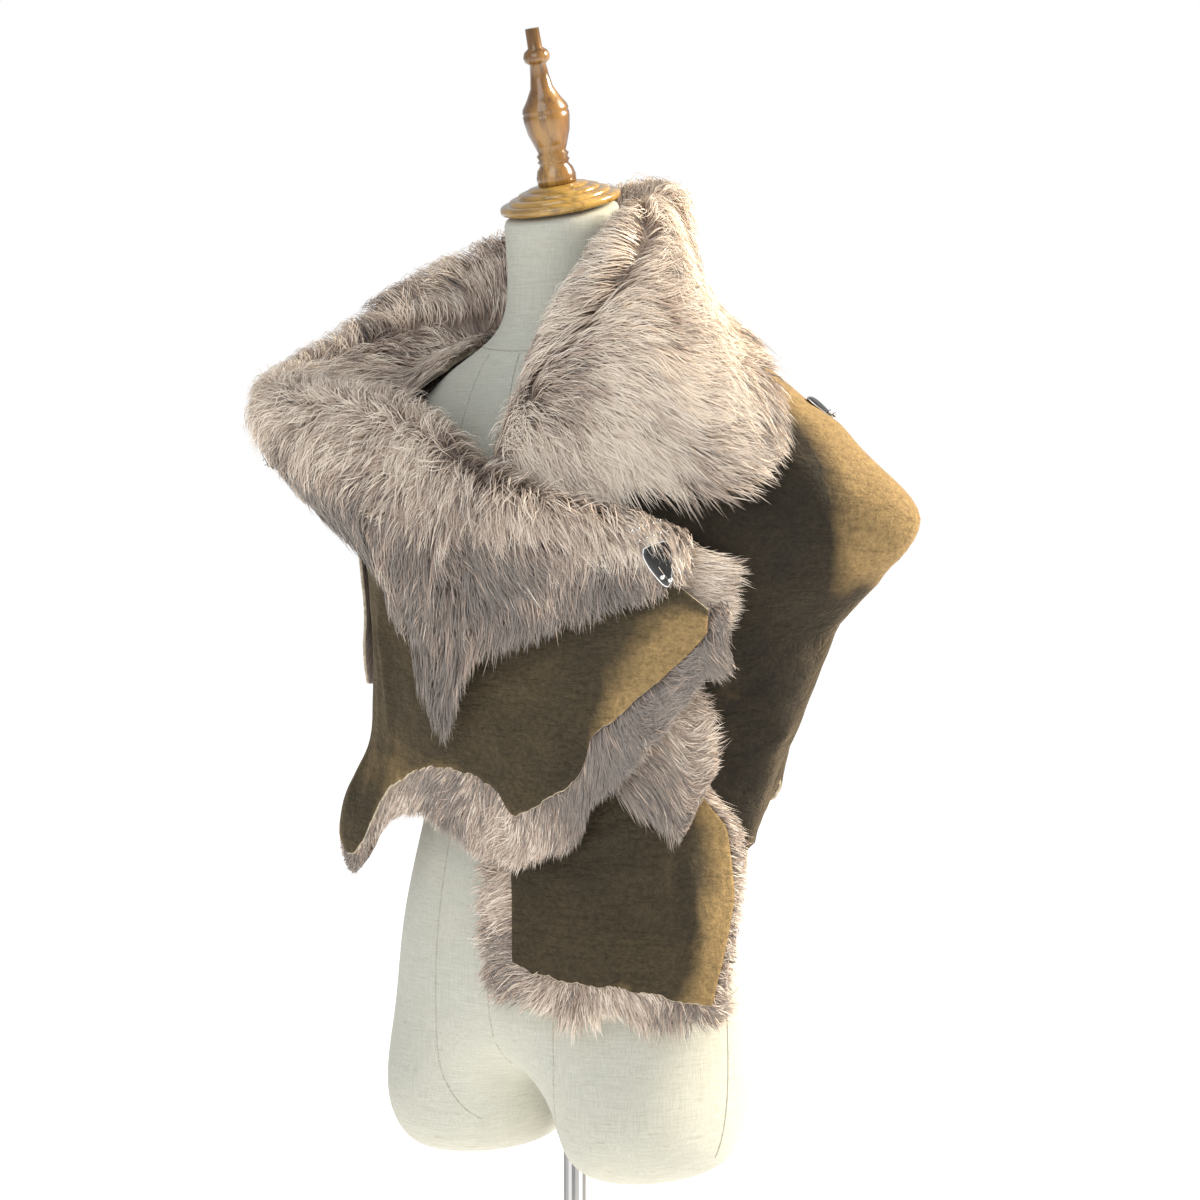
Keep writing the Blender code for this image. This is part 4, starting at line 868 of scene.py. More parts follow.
def coat(name, panel, comb, locks, hairs, length, depth, seed, tone_and_painted_light, keep=None, stand=None,
         width=0.8, lock_size=0.8, lift=0.2, close=0.5, past=(1, 1, 1, 1)):
    """Ribbons over a panel of (bearing, reach, height), in centimetres but for their width.

    past is how far the tips may stand past the panel's first and last u and v, or gives it by u.
    """
    dice = np.random.default_rng(seed)
    points = in_space(panel)
    du, dv = tangents(points)
    normal = outward_of(panel, points)
    a, b = points.shape[:2]
    weight = np.linalg.norm(np.cross(du, dv), axis=-1)[:-1, :-1]
    middles = (np.arange(a - 1) + 0.5) / (a - 1), (np.arange(b - 1) + 0.5) / (b - 1)
    if keep is not None:
        weight = weight * keep(*np.meshgrid(*middles, indexing="ij"))
    cells = dice.choice(weight.size, locks, p=(weight / weight.sum()).ravel())
    u = (cells // (b - 1) + dice.random(locks)) / (a - 1)
    v = (cells % (b - 1) + dice.random(locks)) / (b - 1)

    root = read(points, u, v)
    upright = stand(u, v) if stand else np.zeros(locks)
    sway = (uneven(root, seed, 0.10, 0.30) + uneven(root, seed + 50, 0.03, 0.18)
            + dice.normal(0, 0.10, locks) + upright * dice.normal(0, 0.55, locks))
    across, down = comb(u, v)
    first = np.arctan2(across, down) + sway
    reach = length(u, v) * CM * dice.uniform(0.8, 1.1, locks) * (1 - 0.5 * upright)
    run, fall = run_at(du, u, v), run_at(dv, u, v)
    ragged = 1 + uneven(root, seed + 70, 0.035, 0.35)
    limits = past(u) if callable(past) else past
    sine, cosine = np.sin(first), np.cos(first)
    borders = ((u * run, -sine), ((1 - u) * run, sine),
               (v * fall, -cosine), ((1 - v) * fall, cosine))
    for (room, heading), over in zip(borders, limits):
        room = room + over * CM * dice.uniform(0.3, 1.2, locks) * ragged
        most = np.maximum(room / np.maximum(heading, STEEPEST), SHORTEST_STRAND * CM)
        reach = np.where(heading > STEEPEST, np.minimum(reach, most), reach)
    curl = dice.normal(0, 0.10, locks)
    guide_u, guide_v = [u], [v]
    for step in range(3):
        last_u, last_v = guide_u[-1], guide_v[-1]
        across, down = comb(last_u, last_v)
        angle = np.arctan2(across, down) + sway + curl * step
        guide_u.append(last_u + np.sin(angle) * reach / 3 / run_at(du, last_u, last_v))
        guide_v.append(last_v + np.cos(angle) * reach / 3 / run_at(dv, last_u, last_v))
    guide_u, guide_v = np.array(guide_u), np.array(guide_v)

    n = locks * hairs
    mine = np.repeat(np.arange(locks), hairs)
    angle, spread = dice.uniform(0, 2 * math.pi, n), np.sqrt(dice.random(n)) * lock_size * CM
    off_u, off_v = np.cos(angle) * spread / run[mine], np.sin(angle) * spread / fall[mine]
    closing = close * dice.uniform(0.5, 1.3, n)
    own = dice.uniform(0.62, 1.08, n)
    own_lift = dice.normal(0, lift, locks)[mine] + dice.normal(0, lift * 0.6, n)
    swell = upright[mine] * (reach[mine] / CM)
    rows, ways = [], []
    for k, rise in enumerate((-depth, -0.2 * depth, 0.12, 0.02)):
        t = own * k / 3
        low = np.minimum((own * k).astype(int), 2)
        part, still = own * k - low, 1 - closing * t**1.5
        at_u = guide_u[low, mine] * (1 - part) + guide_u[low + 1, mine] * part + off_u * still
        at_v = guide_v[low, mine] * (1 - part) + guide_v[low + 1, mine] * part + off_v * still
        ways.append(unit(read(normal, at_u, at_v)))
        height = rise + own_lift * t + swell * 0.9 * t * (1.6 - 0.9 * t)
        place = beyond(points, du, dv, at_u, at_v) + ways[-1] * (height * CM)[:, None]
        rows.append(np.clip(place, LOWEST, FURTHEST))
    roll = dice.normal(0, 0.5, n)
    mesh = ribbons(rows, ways, roll, width * 0.001 / 2 * dice.uniform(0.6, 1.3, n))
    # For the collar the tone also holds painted light and shade.
    share = tone_and_painted_light(u, v) + dice.normal(0, 0.30, locks) + uneven(root, seed + 90, 0.06, 0.30)
    share = np.clip(share[mine] + dice.normal(0, 0.12, n), 0.02, 0.98)
    colour = np.stack([np.repeat(share, len(RIBBON)), np.tile(RIBBON_HEIGHTS[RIBBON], n)], axis=1)
    mesh.uv_layers.new(name="OFBake").data.foreach_set("uv", colour.astype(np.float32).ravel())
    piece = piece_of(name, mesh, strands)
    print(name, "strands", n, "triangles", n * 5)
    return piece


# %% [markdown]
# The collar's hair parts along its crest. Inside the parting it leans to the neck, and
# outside it falls over the shoulders. The table says, by turn, at which level the hair parts,
# and how much it is swept along the collar inside, at the top and low down.

# %% The collar
Comb = namedtuple("Comb", "turn parting inside top low")
COLLAR_COMB = (
    Comb(61, 1.8, 0.6, 0.9, 0.4),
    Comb(38, 2.4, 0.9, 0.7, 0.15),
    Comb(12, 2.6, 0.5, 0.1, 0.0),
    Comb(-12, 2.6, -0.5, -0.3, 0.0),
    Comb(-36, 2.8, -0.8, -0.9, -0.25),
    Comb(-50, 2.8, -0.6, -1.0, -0.3),
    Comb(-76, 1.6, -0.2, -0.5, -0.2),
    Comb(-100, 0.2, 0.0, -0.1, 0.0),
    Comb(-232, 0.2, 0.0, 0.0, 0.0),
    Comb(-256, 1.6, 0.0, 0.1, 0.1),
    Comb(-276, 2.9, -0.8, 0.4, 0.3),
    Comb(-298, 3.3, -1.3, 1.2, 1.4),
    Comb(-330, 3.4, -1.3, 1.4, 1.8),
    Comb(-350, 3.2, -1.0, 1.4, 1.6),
)
COLLAR_STAND = (
    (61, 0.5), (20, 0.75), (-36, 0.7), (-62, 0.5), (-100, 0.8), (-232, 0.6), (-290, 0.25),
    (-350, 0.35),
)
COLLAR_LENGTH = ((61, 3.6), (38, 5.0), (12, 5.6), (-36, 5.6), (-76, 5.0), (-182, 4.6), (-350, 5.0))


def turn_at(first, last, u):
    """The turn or bearing at u, on a panel that runs from a first to a last one."""
    return first + (last - first) * np.clip(u, 0, 1)


def collar_comb(first, last, level):
    """How the collar's hair is combed, and how upright it stands, by u and v."""
    def comb(u, v):
        turn = turn_at(first, last, u)
        at = read(level, u, v)
        row = [straight([(c.turn, c[k]) for c in COLLAR_COMB], turn) for k in (1, 2, 3, 4)]
        down = np.tanh((at - row[0]) / 0.35)
        low = fade(at - row[0], 1.6)
        swept = np.where(at < row[0], row[1], row[2] * (1 - low) + row[3] * low)
        # A run of u goes to lower turns, so a sweep to higher turns runs against it.
        return -swept, down

    def stand(u, v):
        turn = turn_at(first, last, u)
        parting = straight([(c.turn, c.parting) for c in COLLAR_COMB], turn)
        high = straight(COLLAR_STAND, turn)
        parting = np.where(parting < 1.2, 2.4, parting)
        return high * np.exp(-(((read(level, u, v) - parting) / 0.6) ** 2))
    return comb, stand


def over_the_foot(panel, level, rows=10):
    """A panel lengthened inwards at its foot, where the shell's neck edge would show inside it."""
    turn = panel[:, 0, 0]
    bearings = turn % 360
    tops = sections(SHELL, np.clip(bearings, 12, 300), samples=2)[:, 0]
    reach = np.interp(turn, [-165, -145, -62, -52], [0, 1, 1, 0])
    foot = panel[:, 0, 1:]
    inner = foot + reach[:, None] * (tops + (-0.5, 0.5) - foot)
    inner += (1 - reach)[:, None] * (-0.02, -0.1)
    steps = np.linspace(0, 1, rows, endpoint=False)[None, :, None]
    added = inner[:, None] * (1 - steps) + foot[:, None] * steps
    added = np.concatenate([np.repeat(turn[:, None, None], rows, axis=1), added], axis=2)
    return (np.concatenate([added, panel], axis=1),
            np.concatenate([np.zeros((len(turn), rows)), level], axis=1))


COLLAR_ROWS = 46


def build_collar(name, first, last, across, locks, seed, past, shown=43):
    """Part of the collar between two turns: a skin of the shown rows, and the hair over it."""
    panel, level = collar_panel(first, last, across, COLLAR_ROWS)
    long_panel, long_level = over_the_foot(panel, level)
    wall = along([c.turn for c in COLLAR], [c.wall for c in COLLAR], panel[:, 0, 0])
    wall = wall[:, None] * straight(COLLAR_TAPER, np.linspace(0, 1, COLLAR_ROWS))[None, :]
    face, back = moved(panel, -0.55 * wall)[:, :shown], moved(panel, -wall)[:, :shown]
    base = skin(name + "_skin", in_space(face), in_space(back), (hide_back, suede, hide_back))
    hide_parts(name)

    def length(u, v):
        by_level = np.interp(read(long_level, u, v), [0, 2, 3.5, 5], [0.6, 0.8, 1.0, 0.9])
        return straight(COLLAR_LENGTH, turn_at(first, last, u)) * by_level

    # The tone holds the hair's own colours and painted light and shade: in front the hanging lower
    # slope is dark grey as painted shade, the inner side is lightened as painted light, and the
    # lapel is cream as painted sunlight.
    def tone_and_painted_light(u, v):
        turn, at = turn_at(first, last, u), read(long_level, u, v)
        front = np.interp(at, [0, 2.4, 2.9, 3.3, 3.8, 5], [0.85, 0.85, 1.0, 0.80, -0.05, -0.3])
        back = np.interp(at, [0, 1.5, 2.5, 5], [0.75, 0.80, 0.80, 0.50])
        lapel = np.interp(at, [0, 2.0, 3.0, 3.4, 4.2, 5], [0.86, 0.92, 0.95, 1.15, 1.1, 0.82])
        return np.where(turn > -62, front, np.where(turn > -262, back, lapel))

    def keep(u, v):
        edge = shown / COLLAR_ROWS
        return np.interp(v, [0, edge - 0.02, edge + 0.02], [1, 1, 0])

    comb, stand = collar_comb(first, last, long_level)
    hair = coat(name + "_hair", long_panel, comb, locks, 6, length, 0.6, seed, tone_and_painted_light, keep, stand,
                past=past)
    print(name, "area", round(area_of(in_space(face)), 4))


def past_right(u):
    """How far the tips may stand past the right part: further over the shoulder than in front."""
    return 1.0, 3, 0.5, np.interp(u, [0.7, 0.85], [0.9, 2.2])


def past_left(u):
    """How far the tips may stand past the left part: least over the shoulder."""
    return 3, 0.5, 0.5, np.interp(u, [0.28, 0.38, 0.5, 0.7, 0.9], [-0.3, 1.5, 2.6, 1.6, 0.9])


build_collar("collar_right", 61, -100, 88, 6000, 11,
             past_right)
panel, level = collar_panel(61, -64, 100, COLLAR_ROWS)
comb, stand = collar_comb(61, -64, level)
hair = coat("collar_roll_locks", panel, comb, 1100, 10, even(4.0), 0.4, 14,
            even(0.98), lift=0.3, close=0.85, lock_size=0.75, width=0.9,
            keep=lambda u, v: np.exp(-(((read(level, u, v) - 2.85) / 0.4) ** 2)),
            stand=lambda u, v: 0.6 * stand(u, v), past=(0.8, 3, 1, 0.5))
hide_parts("collar_right")
build_collar("collar_back", -100, -250, 62, 3200, 12,
             (3, 3, 0.5, 2.4))
build_collar("collar_left", -250, -350, 74, 5200, 13,
             past_left, shown=42)

panel, level = collar_panel(61, 44, 20, COLLAR_ROWS)
hair = coat("clasp_locks", moved(panel, 0.55), lambda u, v: (-0.35 + 0 * u, 1 + 0 * u), 160, 9,
            even(2.8), 0.9, 15, even(0.62), lift=0.15,
            close=0.9, lock_size=0.45, width=0.9, keep=lambda u, v: (v > 0.12) & (v < 0.47),
            past=(0.5, 3, 1, 0.5))
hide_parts("collar_right")

# %% [markdown]
# The wings and the back hang from under the collar. They are suede outside and fleece inside,
# as thick as hide and pressed fleece together, and thin at their cut edges.

# %% The wings and the back
def build_shell(name, first, last, across, down, hem, seed, worn_and_sunlit=None, creases=()):
    """Part of the shell between two bearings. Its ends stay in place, so that parts meet."""
    panel = creased(shell_panel(first, last, across, down, hem), creases, seed)
    inset = np.minimum(np.arange(across), np.arange(across)[::-1])[:, None]
    points = in_space(panel)
    panel = moved(panel, fade(inset, 8) * (uneven(points, seed, 0.09, 0.16)
                                           + uneven(points, seed + 5, 0.03, 0.04)))
    ends = inset / across
    low = np.arange(down)[::-1][None, :] / down
    thick = 0.25 + 0.5 * np.clip(np.minimum(ends * 14, low * 18), 0, 1)
    # The shell's suede is the darkest copy, which is painted shade.
    piece = skin(name + "_skin", in_space(panel), in_space(moved(panel, -thick)),
                 (shaded_suede, hide_back, cut_edge), worn_and_sunlit)
    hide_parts(name)
    print(name, "area", round(area_of(in_space(panel)), 4))


def shoulder_painted_sun(u, v):
    """Painted sunlight on the left wing: golden over the shoulder, and by the collar a little
    further forward.
    """
    shoulder = fade(1.03 - u, 0.16) * fade(0.62 - v, 0.09)
    return shoulder * np.maximum(fade(u - 0.57, 0.14), fade(0.30 - v, 0.08) * fade(u - 0.35, 0.2))


build_shell("left_wing", 52, 112, 74, 62, LEFT_WING_HEM, 21, shoulder_painted_sun,
            WING_CREASES)
build_shell("back_panel", 112, 248, 104, 52, BACK_HEM, 22)
build_shell("right_wing", 248, 300, 60, 50, RIGHT_WING_HEM, 23)

# %% [markdown]
# Each front is one skin: suede outside, and inside a long fleece that stands out below the
# edge as a fringe. The fringe's strands start under the suede and lean away from its edge.

# %% The left front, its fringe and its revers
def flared(points, by):
    """Spreads a sheet's border, so that the slanting cut edge shows from the front."""
    spread = points.copy()
    every = slice(None)
    for rim, inner in ((0, 1), (-1, -2), ((every, 0), (every, 1)), ((every, -1), (every, -2))):
        way = points[rim] - points[inner]
        spread[rim] += way * by / (np.linalg.norm(way, axis=-1, keepdims=True) + 1e-9)
    return spread


CUT_EDGE_FLARE = 0.0013


def lay(name, panel, thick, finishes, replaced, worn_and_sunlit=None):
    """A skin that lies on others, thick centimetres through."""
    back = in_space(moved(panel, -np.asarray(thick)))
    if finishes[2] is cut_edge:
        back = flared(back, CUT_EDGE_FLARE)
    piece = skin(name, in_space(panel), back, finishes, worn_and_sunlit)
    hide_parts(replaced)
    print(name, "area", round(area_of(in_space(panel)), 4))


HIDE, FLEECE, HAIR_UNDER, FLEECE_UNDER = 0.25, 0.45, 0.29, 0.45
SIDES = (LEFT_FRONT_TOP, LEFT_FRONT_HEM, LEFT_FRONT_INSIDE, LEFT_FRONT_SIDE)
flat_grid = outline(*SIDES, 70, 70)
base = creased(moved(on_surface(SHELL, flat_grid), LEFT_FRONT_OUT), LEFT_FRONT_CREASES, 31)
# The left front's suede is the middle copy, which is painted shade.
lay("left_front_skin", rumpled(base, 31, 0.09), HIDE, (half_shaded_suede, hide_back, cut_edge),
    "left_front",
    # The golden on the side towards the lamp is partly wear and partly painted sunlight.
    worn_and_sunlit=lambda u, v: 0.92 * fade(u + 0.05 * v - 0.79, 0.20))

grid = fringed(flat_grid, LEFT_FRINGE, 14, 11.0, 3.0, 14)
under = moved(on_surface(SHELL, grid), LEFT_FRONT_OUT - HAIR_UNDER)
inset = fringed(flat_grid, [(b, f * 0.4) for b, f in LEFT_FRINGE], 6, 5.0, 1.0, 6)
inset = moved(on_surface(SHELL, inset[::2, ::2]), LEFT_FRONT_OUT - FLEECE_UNDER)


def left_fringe_comb(u, v):
    across = np.interp(u, [0, 0.14, 0.3, 0.8, 0.9, 1], [-1.4, -1.2, -0.35, 0.15, 0.9, 1.2])
    down = np.interp(v, [0, 0.75, 0.88, 1], [0.3, 0.45, 0.9, 1.0])
    return across, down


def left_fringe_keep(u, v):
    left = fade(u - 0.02, 0.12) * (u < 0.2)
    right, below = (u > 0.86) & (u < 0.95), (v > 0.80) & (v < 0.93)
    corner = (np.clip((0.15 - u) / 0.11, 0, 9) ** 2 + np.clip((v - 0.83) / 0.08, 0, 9) ** 2) < 1
    rounded = corner | (u > 0.15) | (v < 0.83)
    return np.where(right | (below & (u >= 0.14)), 1.0, left) * rounded * (v > 0.3)


hair = coat("left_front_hair", under, left_fringe_comb, 2200, 6, even(4.4), 0.35, 33,
            lambda u, v: np.interp(u, [0, 0.2, 0.5, 1], [0.48, 0.60, 0.68, 0.62]),
            keep=left_fringe_keep, past=(2.6, 0.5, 0.5, 2.2))
lay("left_front_fleece", inset, FLEECE, (hide_back, hide_back, hide_back),
    "left_front_fur")

SIDES = (REVERS_TOP, REVERS_HEM, REVERS_INSIDE, REVERS_SIDE)
REVERS_OUT = LEFT_FRONT_OUT + 0.9 + 0.11
revers = moved(on_surface(SHELL, outline(*SIDES, 44, 60)), REVERS_OUT)


def revers_comb(u, v):
    across = np.interp(v, [0, 0.3, 0.6, 0.8, 1], [1.2, 1.0, 0.7, 0.9, 0.5])
    down = np.interp(v, [0, 0.3, 0.6, 0.8, 1], [-0.3, -0.1, 0.3, 0.5, 1.0])
    return across, down


hair = coat("left_revers_hair", revers, revers_comb, 2300, 6, even(3.8), 0.5, 34,
            lambda u, v: (np.interp(v, [0, 0.25, 0.5, 0.7, 1], [0.80, 0.55, 0.30, 0.40, 0.30])
                          + np.interp(u, [0.5, 1], [-0.1, 0.22])),
            keep=lambda u, v: (u < 0.93) & (v < 0.95), past=(1, 1.2, 1, 0.8))
lay("left_revers_skin", moved(revers, -0.45), 0.4, (hide_back, suede, hide_back),
    "left_revers")

# %% [markdown]
# The right front is the long skin that crosses the body to the hook. It is made as the left
# front is, on its own surface, because it lies over everything else below the collar.

# %% The right front and its fringe
ROWS, FRINGE_ROWS = 48, 24
HEM_ROW = (ROWS - 1) / (ROWS + FRINGE_ROWS - 1)
SIDES = (RIGHT_FRONT_TOP, RIGHT_FRONT_HEM, RIGHT_FRONT_INSIDE, RIGHT_FRONT_SIDE)
flat_grid = outline(*SIDES, 176, ROWS)
base = creased(on_surface(RIGHT_FRONT, flat_grid), RIGHT_FRONT_CREASES, 41)
lay("right_front_skin", rumpled(base, 41, 0.10), HIDE, (suede, hide_back, cut_edge),
    "right_front",
    # The golden band along the edge towards the lamp is partly wear and partly painted sunlight.
    worn_and_sunlit=lambda u, v: 0.85 * fade(u + 0.14 * v - 0.91, 0.13) * fade(v - 0.10, 0.3))

grid = fringed(flat_grid, RIGHT_FRINGE, FRINGE_ROWS, 0, 3.0, 10)
under = moved(on_surface(RIGHT_FRONT, grid), -HAIR_UNDER)
inset = fringed(flat_grid, [(b, f * 0.55) for b, f in RIGHT_FRINGE], 10, 0, 1.2, 6)
inset = moved(on_surface(RIGHT_FRONT, inset[::2]), -FLEECE_UNDER)


def right_fringe_comb(u, v):
    bearing = turn_at(-78, 68.5, u)
    across = straight(((-78, -0.6), (-40, -1.0), (-25, -0.9), (-5, -0.55), (12, -0.5), (22, -0.15),
                       (40, 0.05), (55, 0.5), (68, 1.0)), bearing)
    return across, np.ones_like(across) * 0.9


def right_fringe_keep(u, v):
    return ((v > HEM_ROW - 0.05) | (u > 0.955)) & (v < HEM_ROW + 0.6 * (1 - HEM_ROW))


hair = coat("right_front_hair", under, right_fringe_comb, 4200, 6,
            lambda u, v: np.interp(u, [0, 0.2, 0.3, 0.5, 1], [1.4, 1.8, 3.4, 4.8, 4.6]), 0.35, 43,
            lambda u, v: np.interp(u, [0, 0.3, 0.5, 0.65, 0.8, 1],
                                   [0.75, 0.30, 0.10, 0.42, -0.40, -0.05]),
            keep=right_fringe_keep, past=(1, 0.6, 1, -0.1), lift=0.1)
lay("right_front_fleece", inset, FLEECE, (hide_back, hide_back, hide_back),
    "right_front_fur")

# %% [markdown]
# The form is a padded body in tightly stretched linen. The cage of rings is the solids' own,
# with more subdivision, so its outline is smooth.

# %% The dress form
RING_POINTS = 16
HIP_FORWARD = 1.4
Ring = namedtuple("Ring", "height half_width front back lean")
TORSO = (
    Ring(151.4, 4.95, 7.05, 2.85, 15),
    Ring(150.6, 4.95, 7.00, 2.90, 15),
    Ring(146.0, 4.85, 6.45, 3.30, 10),
    Ring(142.0, 5.50, 6.50, 4.30, 6),
    Ring(139.8, 8.20, 7.60, 6.20, 3),
    Ring(137.6, 12.8, 8.60, 7.60, 0),
    Ring(134.4, 16.6, 9.50, 8.70, 0),
    Ring(130.0, 17.8, 10.6, 9.40, 0),
    Ring(124.5, 17.0, 12.2, 9.40, 0),
    Ring(119.5, 15.6, 12.0, 8.80, 0),
    Ring(113.0, 13.5, 10.4, 7.60, 0),
    Ring(106.0, 12.2, 9.80, 6.80, 0),
    Ring(98.0, 14.5, 11.3, 8.10, 0),
    Ring(90.0, 16.8, 12.3, 9.50, 0),
    Ring(83.0, 17.4, 12.2, 9.60, 0),
)
Thigh = namedtuple("Thigh", "height middle half_width half_depth")
THIGHS = (
    Thigh(77.2, 9.50, 7.95, 10.3),
    Thigh(73.4, 9.30, 7.30, 9.60),
    Thigh(71.1, 9.20, 5.60, 7.60),
    Thigh(70.7, 9.20, 3.00, 4.20),
)
THIGH_OUTER = (-46, -14, 20, 52, 90, 128, 160, 194, 226)
THIGH_INNER = (248, 270, 292)
CROTCH = ((-7.2, 79.3), (-1.2, 78.9), (5.0, 79.5))


def torso_ring(built, ring):
    """The cage points of one ring, from the front round by the left side."""
    middle, depth = (ring.back - ring.front) / 2, (ring.back + ring.front) / 2
    points = []
    for k in range(RING_POINTS):
        angle = 2 * math.pi * k / RING_POINTS
        drop = depth * math.cos(angle) * math.tan(math.radians(ring.lean))
        x, y = ring.half_width * math.sin(angle), middle - depth * math.cos(angle)
        points.append(built.verts.new(Vector((x, y, ring.height - drop)) * CM))
    return points


linen, tree, shader = finish("linen", 0.92, Sheen_Weight=0.15, Specular_IOR_Level=0.2)
where = object_space(tree)
weft = noise(tree, where, 1.0, 3, 0.6, (55, 55, 1500))
warp = noise(tree, where, 1.0, 3, 0.6, (1300, 1300, 45))
slubs = noise(tree, where, 1.0, 2, 0.5, (60, 60, 420))
stains = noise(tree, where, 9, 3, 0.6)
thread = mixed(tree, 0.5, weft, warp)
weave = ramp(tree, thread, (0.38, 0.0), (0.62, 1.0))
colour = mixed(tree, weave, (0.42, 0.425, 0.365), (0.56, 0.565, 0.505))
colour = mixed(tree, ramp(tree, slubs, (0.66, 0.0), (0.74, 0.75)), colour, (0.40, 0.37, 0.29))
colour = mixed(tree, ramp(tree, stains, (0.35, 0.16), (0.65, 0.0)), colour, (0.62, 0.58, 0.44))
tree.links.new(colour, shader.inputs["Base Color"])
bumped(tree, shader, thread, 0.0005, 0.8)

built = bmesh.new()
rings = [torso_ring(built, ring) for ring in TORSO]
for upper, lower in zip(rings, rings[1:]):
    band(built, upper, lower)
built.faces.new(rings[0])
bridge = [built.verts.new((0, y * CM, z * CM)) for y, z in CROTCH]
for side in (1, -1):
    loop = [rings[-1][side * k % RING_POINTS] for k in range(RING_POINTS // 2 + 1)] + bridge[::-1]
    for ring in THIGHS:
        lower = []
        for bearing in THIGH_OUTER + THIGH_INNER:
            angle = math.radians(bearing)
            x = side * (ring.middle + ring.half_width * math.sin(angle))
            y = -HIP_FORWARD - ring.half_depth * math.cos(angle)
            lower.append(built.verts.new(Vector((x, y, ring.height)) * CM))
        band(built, loop, lower)
        loop = lower
    built.faces.new(loop)
form = from_bmesh("form_cover", built, "linen", linen)
smooth = form.modifiers.new("smooth", "SUBSURF")
smooth.levels = smooth.render_levels = 2
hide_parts("dress_form")
print("form cover")

# %% [markdown]
# The cap and the finial are turned on a lathe, so each is one profile swept round its axis by a
# Screw modifier. Wood is long streaks of noise along its grain under a clear coat: the finial's
# grain runs up the axis, and the cap's lies across it. The stand keeps its solids, and chrome is a
# mirror whose colour has dark and light bands by the way its faces turn, a painted reflection of a
# dark room.

# %% The turned wood and the stand
Turning = namedtuple("Turning", "radius rise")
NECK_TOP, NECK_FORWARD, CAP_LEAN, SEAT_GAP = 151.4, 2.1, 15.0, 0.03
NECK_CAP = (
    Turning(4.75, 0.00), Turning(4.98, 0.06), Turning(5.08, 0.18), Turning(5.10, 0.45),
    Turning(5.05, 0.60), Turning(4.93, 0.70), Turning(4.40, 0.83), Turning(4.32, 0.78),
    Turning(4.26, 0.88), Turning(4.24, 1.02), Turning(4.16, 1.08), Turning(3.60, 1.24),
    Turning(3.52, 1.19), Turning(3.46, 1.28), Turning(3.44, 1.40), Turning(3.36, 1.46),
    Turning(2.70, 1.66), Turning(2.62, 1.61), Turning(2.56, 1.70), Turning(2.50, 1.78),
    Turning(1.70, 1.95),
)
FINIAL = (
    Turning(1.62, 0.00), Turning(1.66, 0.60), Turning(1.50, 1.20), Turning(1.22, 1.55),
    Turning(1.24, 1.75), Turning(1.36, 1.90), Turning(1.20, 2.10), Turning(1.36, 2.40),
    Turning(1.15, 2.65), Turning(1.40, 3.30), Turning(1.75, 4.30), Turning(1.92, 5.30),
    Turning(1.95, 5.80), Turning(1.86, 5.92), Turning(1.94, 6.10), Turning(1.88, 6.40),
    Turning(1.42, 7.10), Turning(0.95, 8.00), Turning(0.78, 9.00), Turning(0.68, 9.95),
    Turning(1.02, 10.2), Turning(1.12, 10.6), Turning(0.98, 11.0), Turning(0.60, 11.3),
    Turning(0.58, 12.9),
)


def make_wood(name, dark, middle, light, lie):
    """Varnished wood. lie is 1 across the grain and 0 along it, for x, y and z."""
    made, tree, shader = finish(name, 0.25, Coat_Weight=0.8, Coat_Roughness=0.05)
    where = object_space(tree)
    grain = noise(tree, where, 1.0, 4, 0.6, tuple(12 + 158 * c for c in lie))
    figure = noise(tree, where, 1.0, 2, 0.5, tuple(9 + 21 * c for c in lie))
    colour = ramp(tree, figure, (0.30, dark), (0.50, middle), (0.68, light))
    pores = ramp(tree, grain, (0.36, 0.75), (0.56, 0.0))
    colour = mixed(tree, pores, colour, tuple(0.45 * c for c in dark))
    tree.links.new(colour, shader.inputs["Base Color"])
    return made


cap_wood = make_wood("varnished_cap_wood", (0.36, 0.195, 0.036), (0.50, 0.290, 0.062),
                     (0.60, 0.370, 0.090), lie=(0, 1, 1))
finial_wood = make_wood("varnished_wood", (0.12, 0.048, 0.009), (0.26, 0.124, 0.025),
                        (0.45, 0.245, 0.060), lie=(1, 1, 0))

chrome, tree, shader = finish("chrome", 0.12, 1.0)
where = object_space(tree)
# The colour has dark and light bands by the way each face turns: a painted reflection of a dark
# room.
normals = node(tree, "ShaderNodeTexCoord").outputs["Normal"]
facing = node(tree, "ShaderNodeSeparateXYZ", {"Vector": normals})
across = node(tree, "ShaderNodeMath", {0: facing.outputs["X"], 1: facing.outputs["Y"]},
              operation="ADD")
span = {"Value": across.outputs[0], "From Min": -1.42, "From Max": 1.42}
painted_reflection_bands = ramp(tree, node(tree, "ShaderNodeMapRange", span).outputs["Result"],
             (0.0, 0.10), (0.22, 0.62), (0.34, 0.05), (0.55, 0.70), (0.72, 0.12), (0.86, 0.75),
             (1.0, 0.2))
dulled = ramp(tree, noise(tree, where, 60), (0.3, 0.0), (0.7, 0.12))
tree.links.new(mixed(tree, dulled, painted_reflection_bands, (0.5, 0.5, 0.5)), shader.inputs["Base Color"])


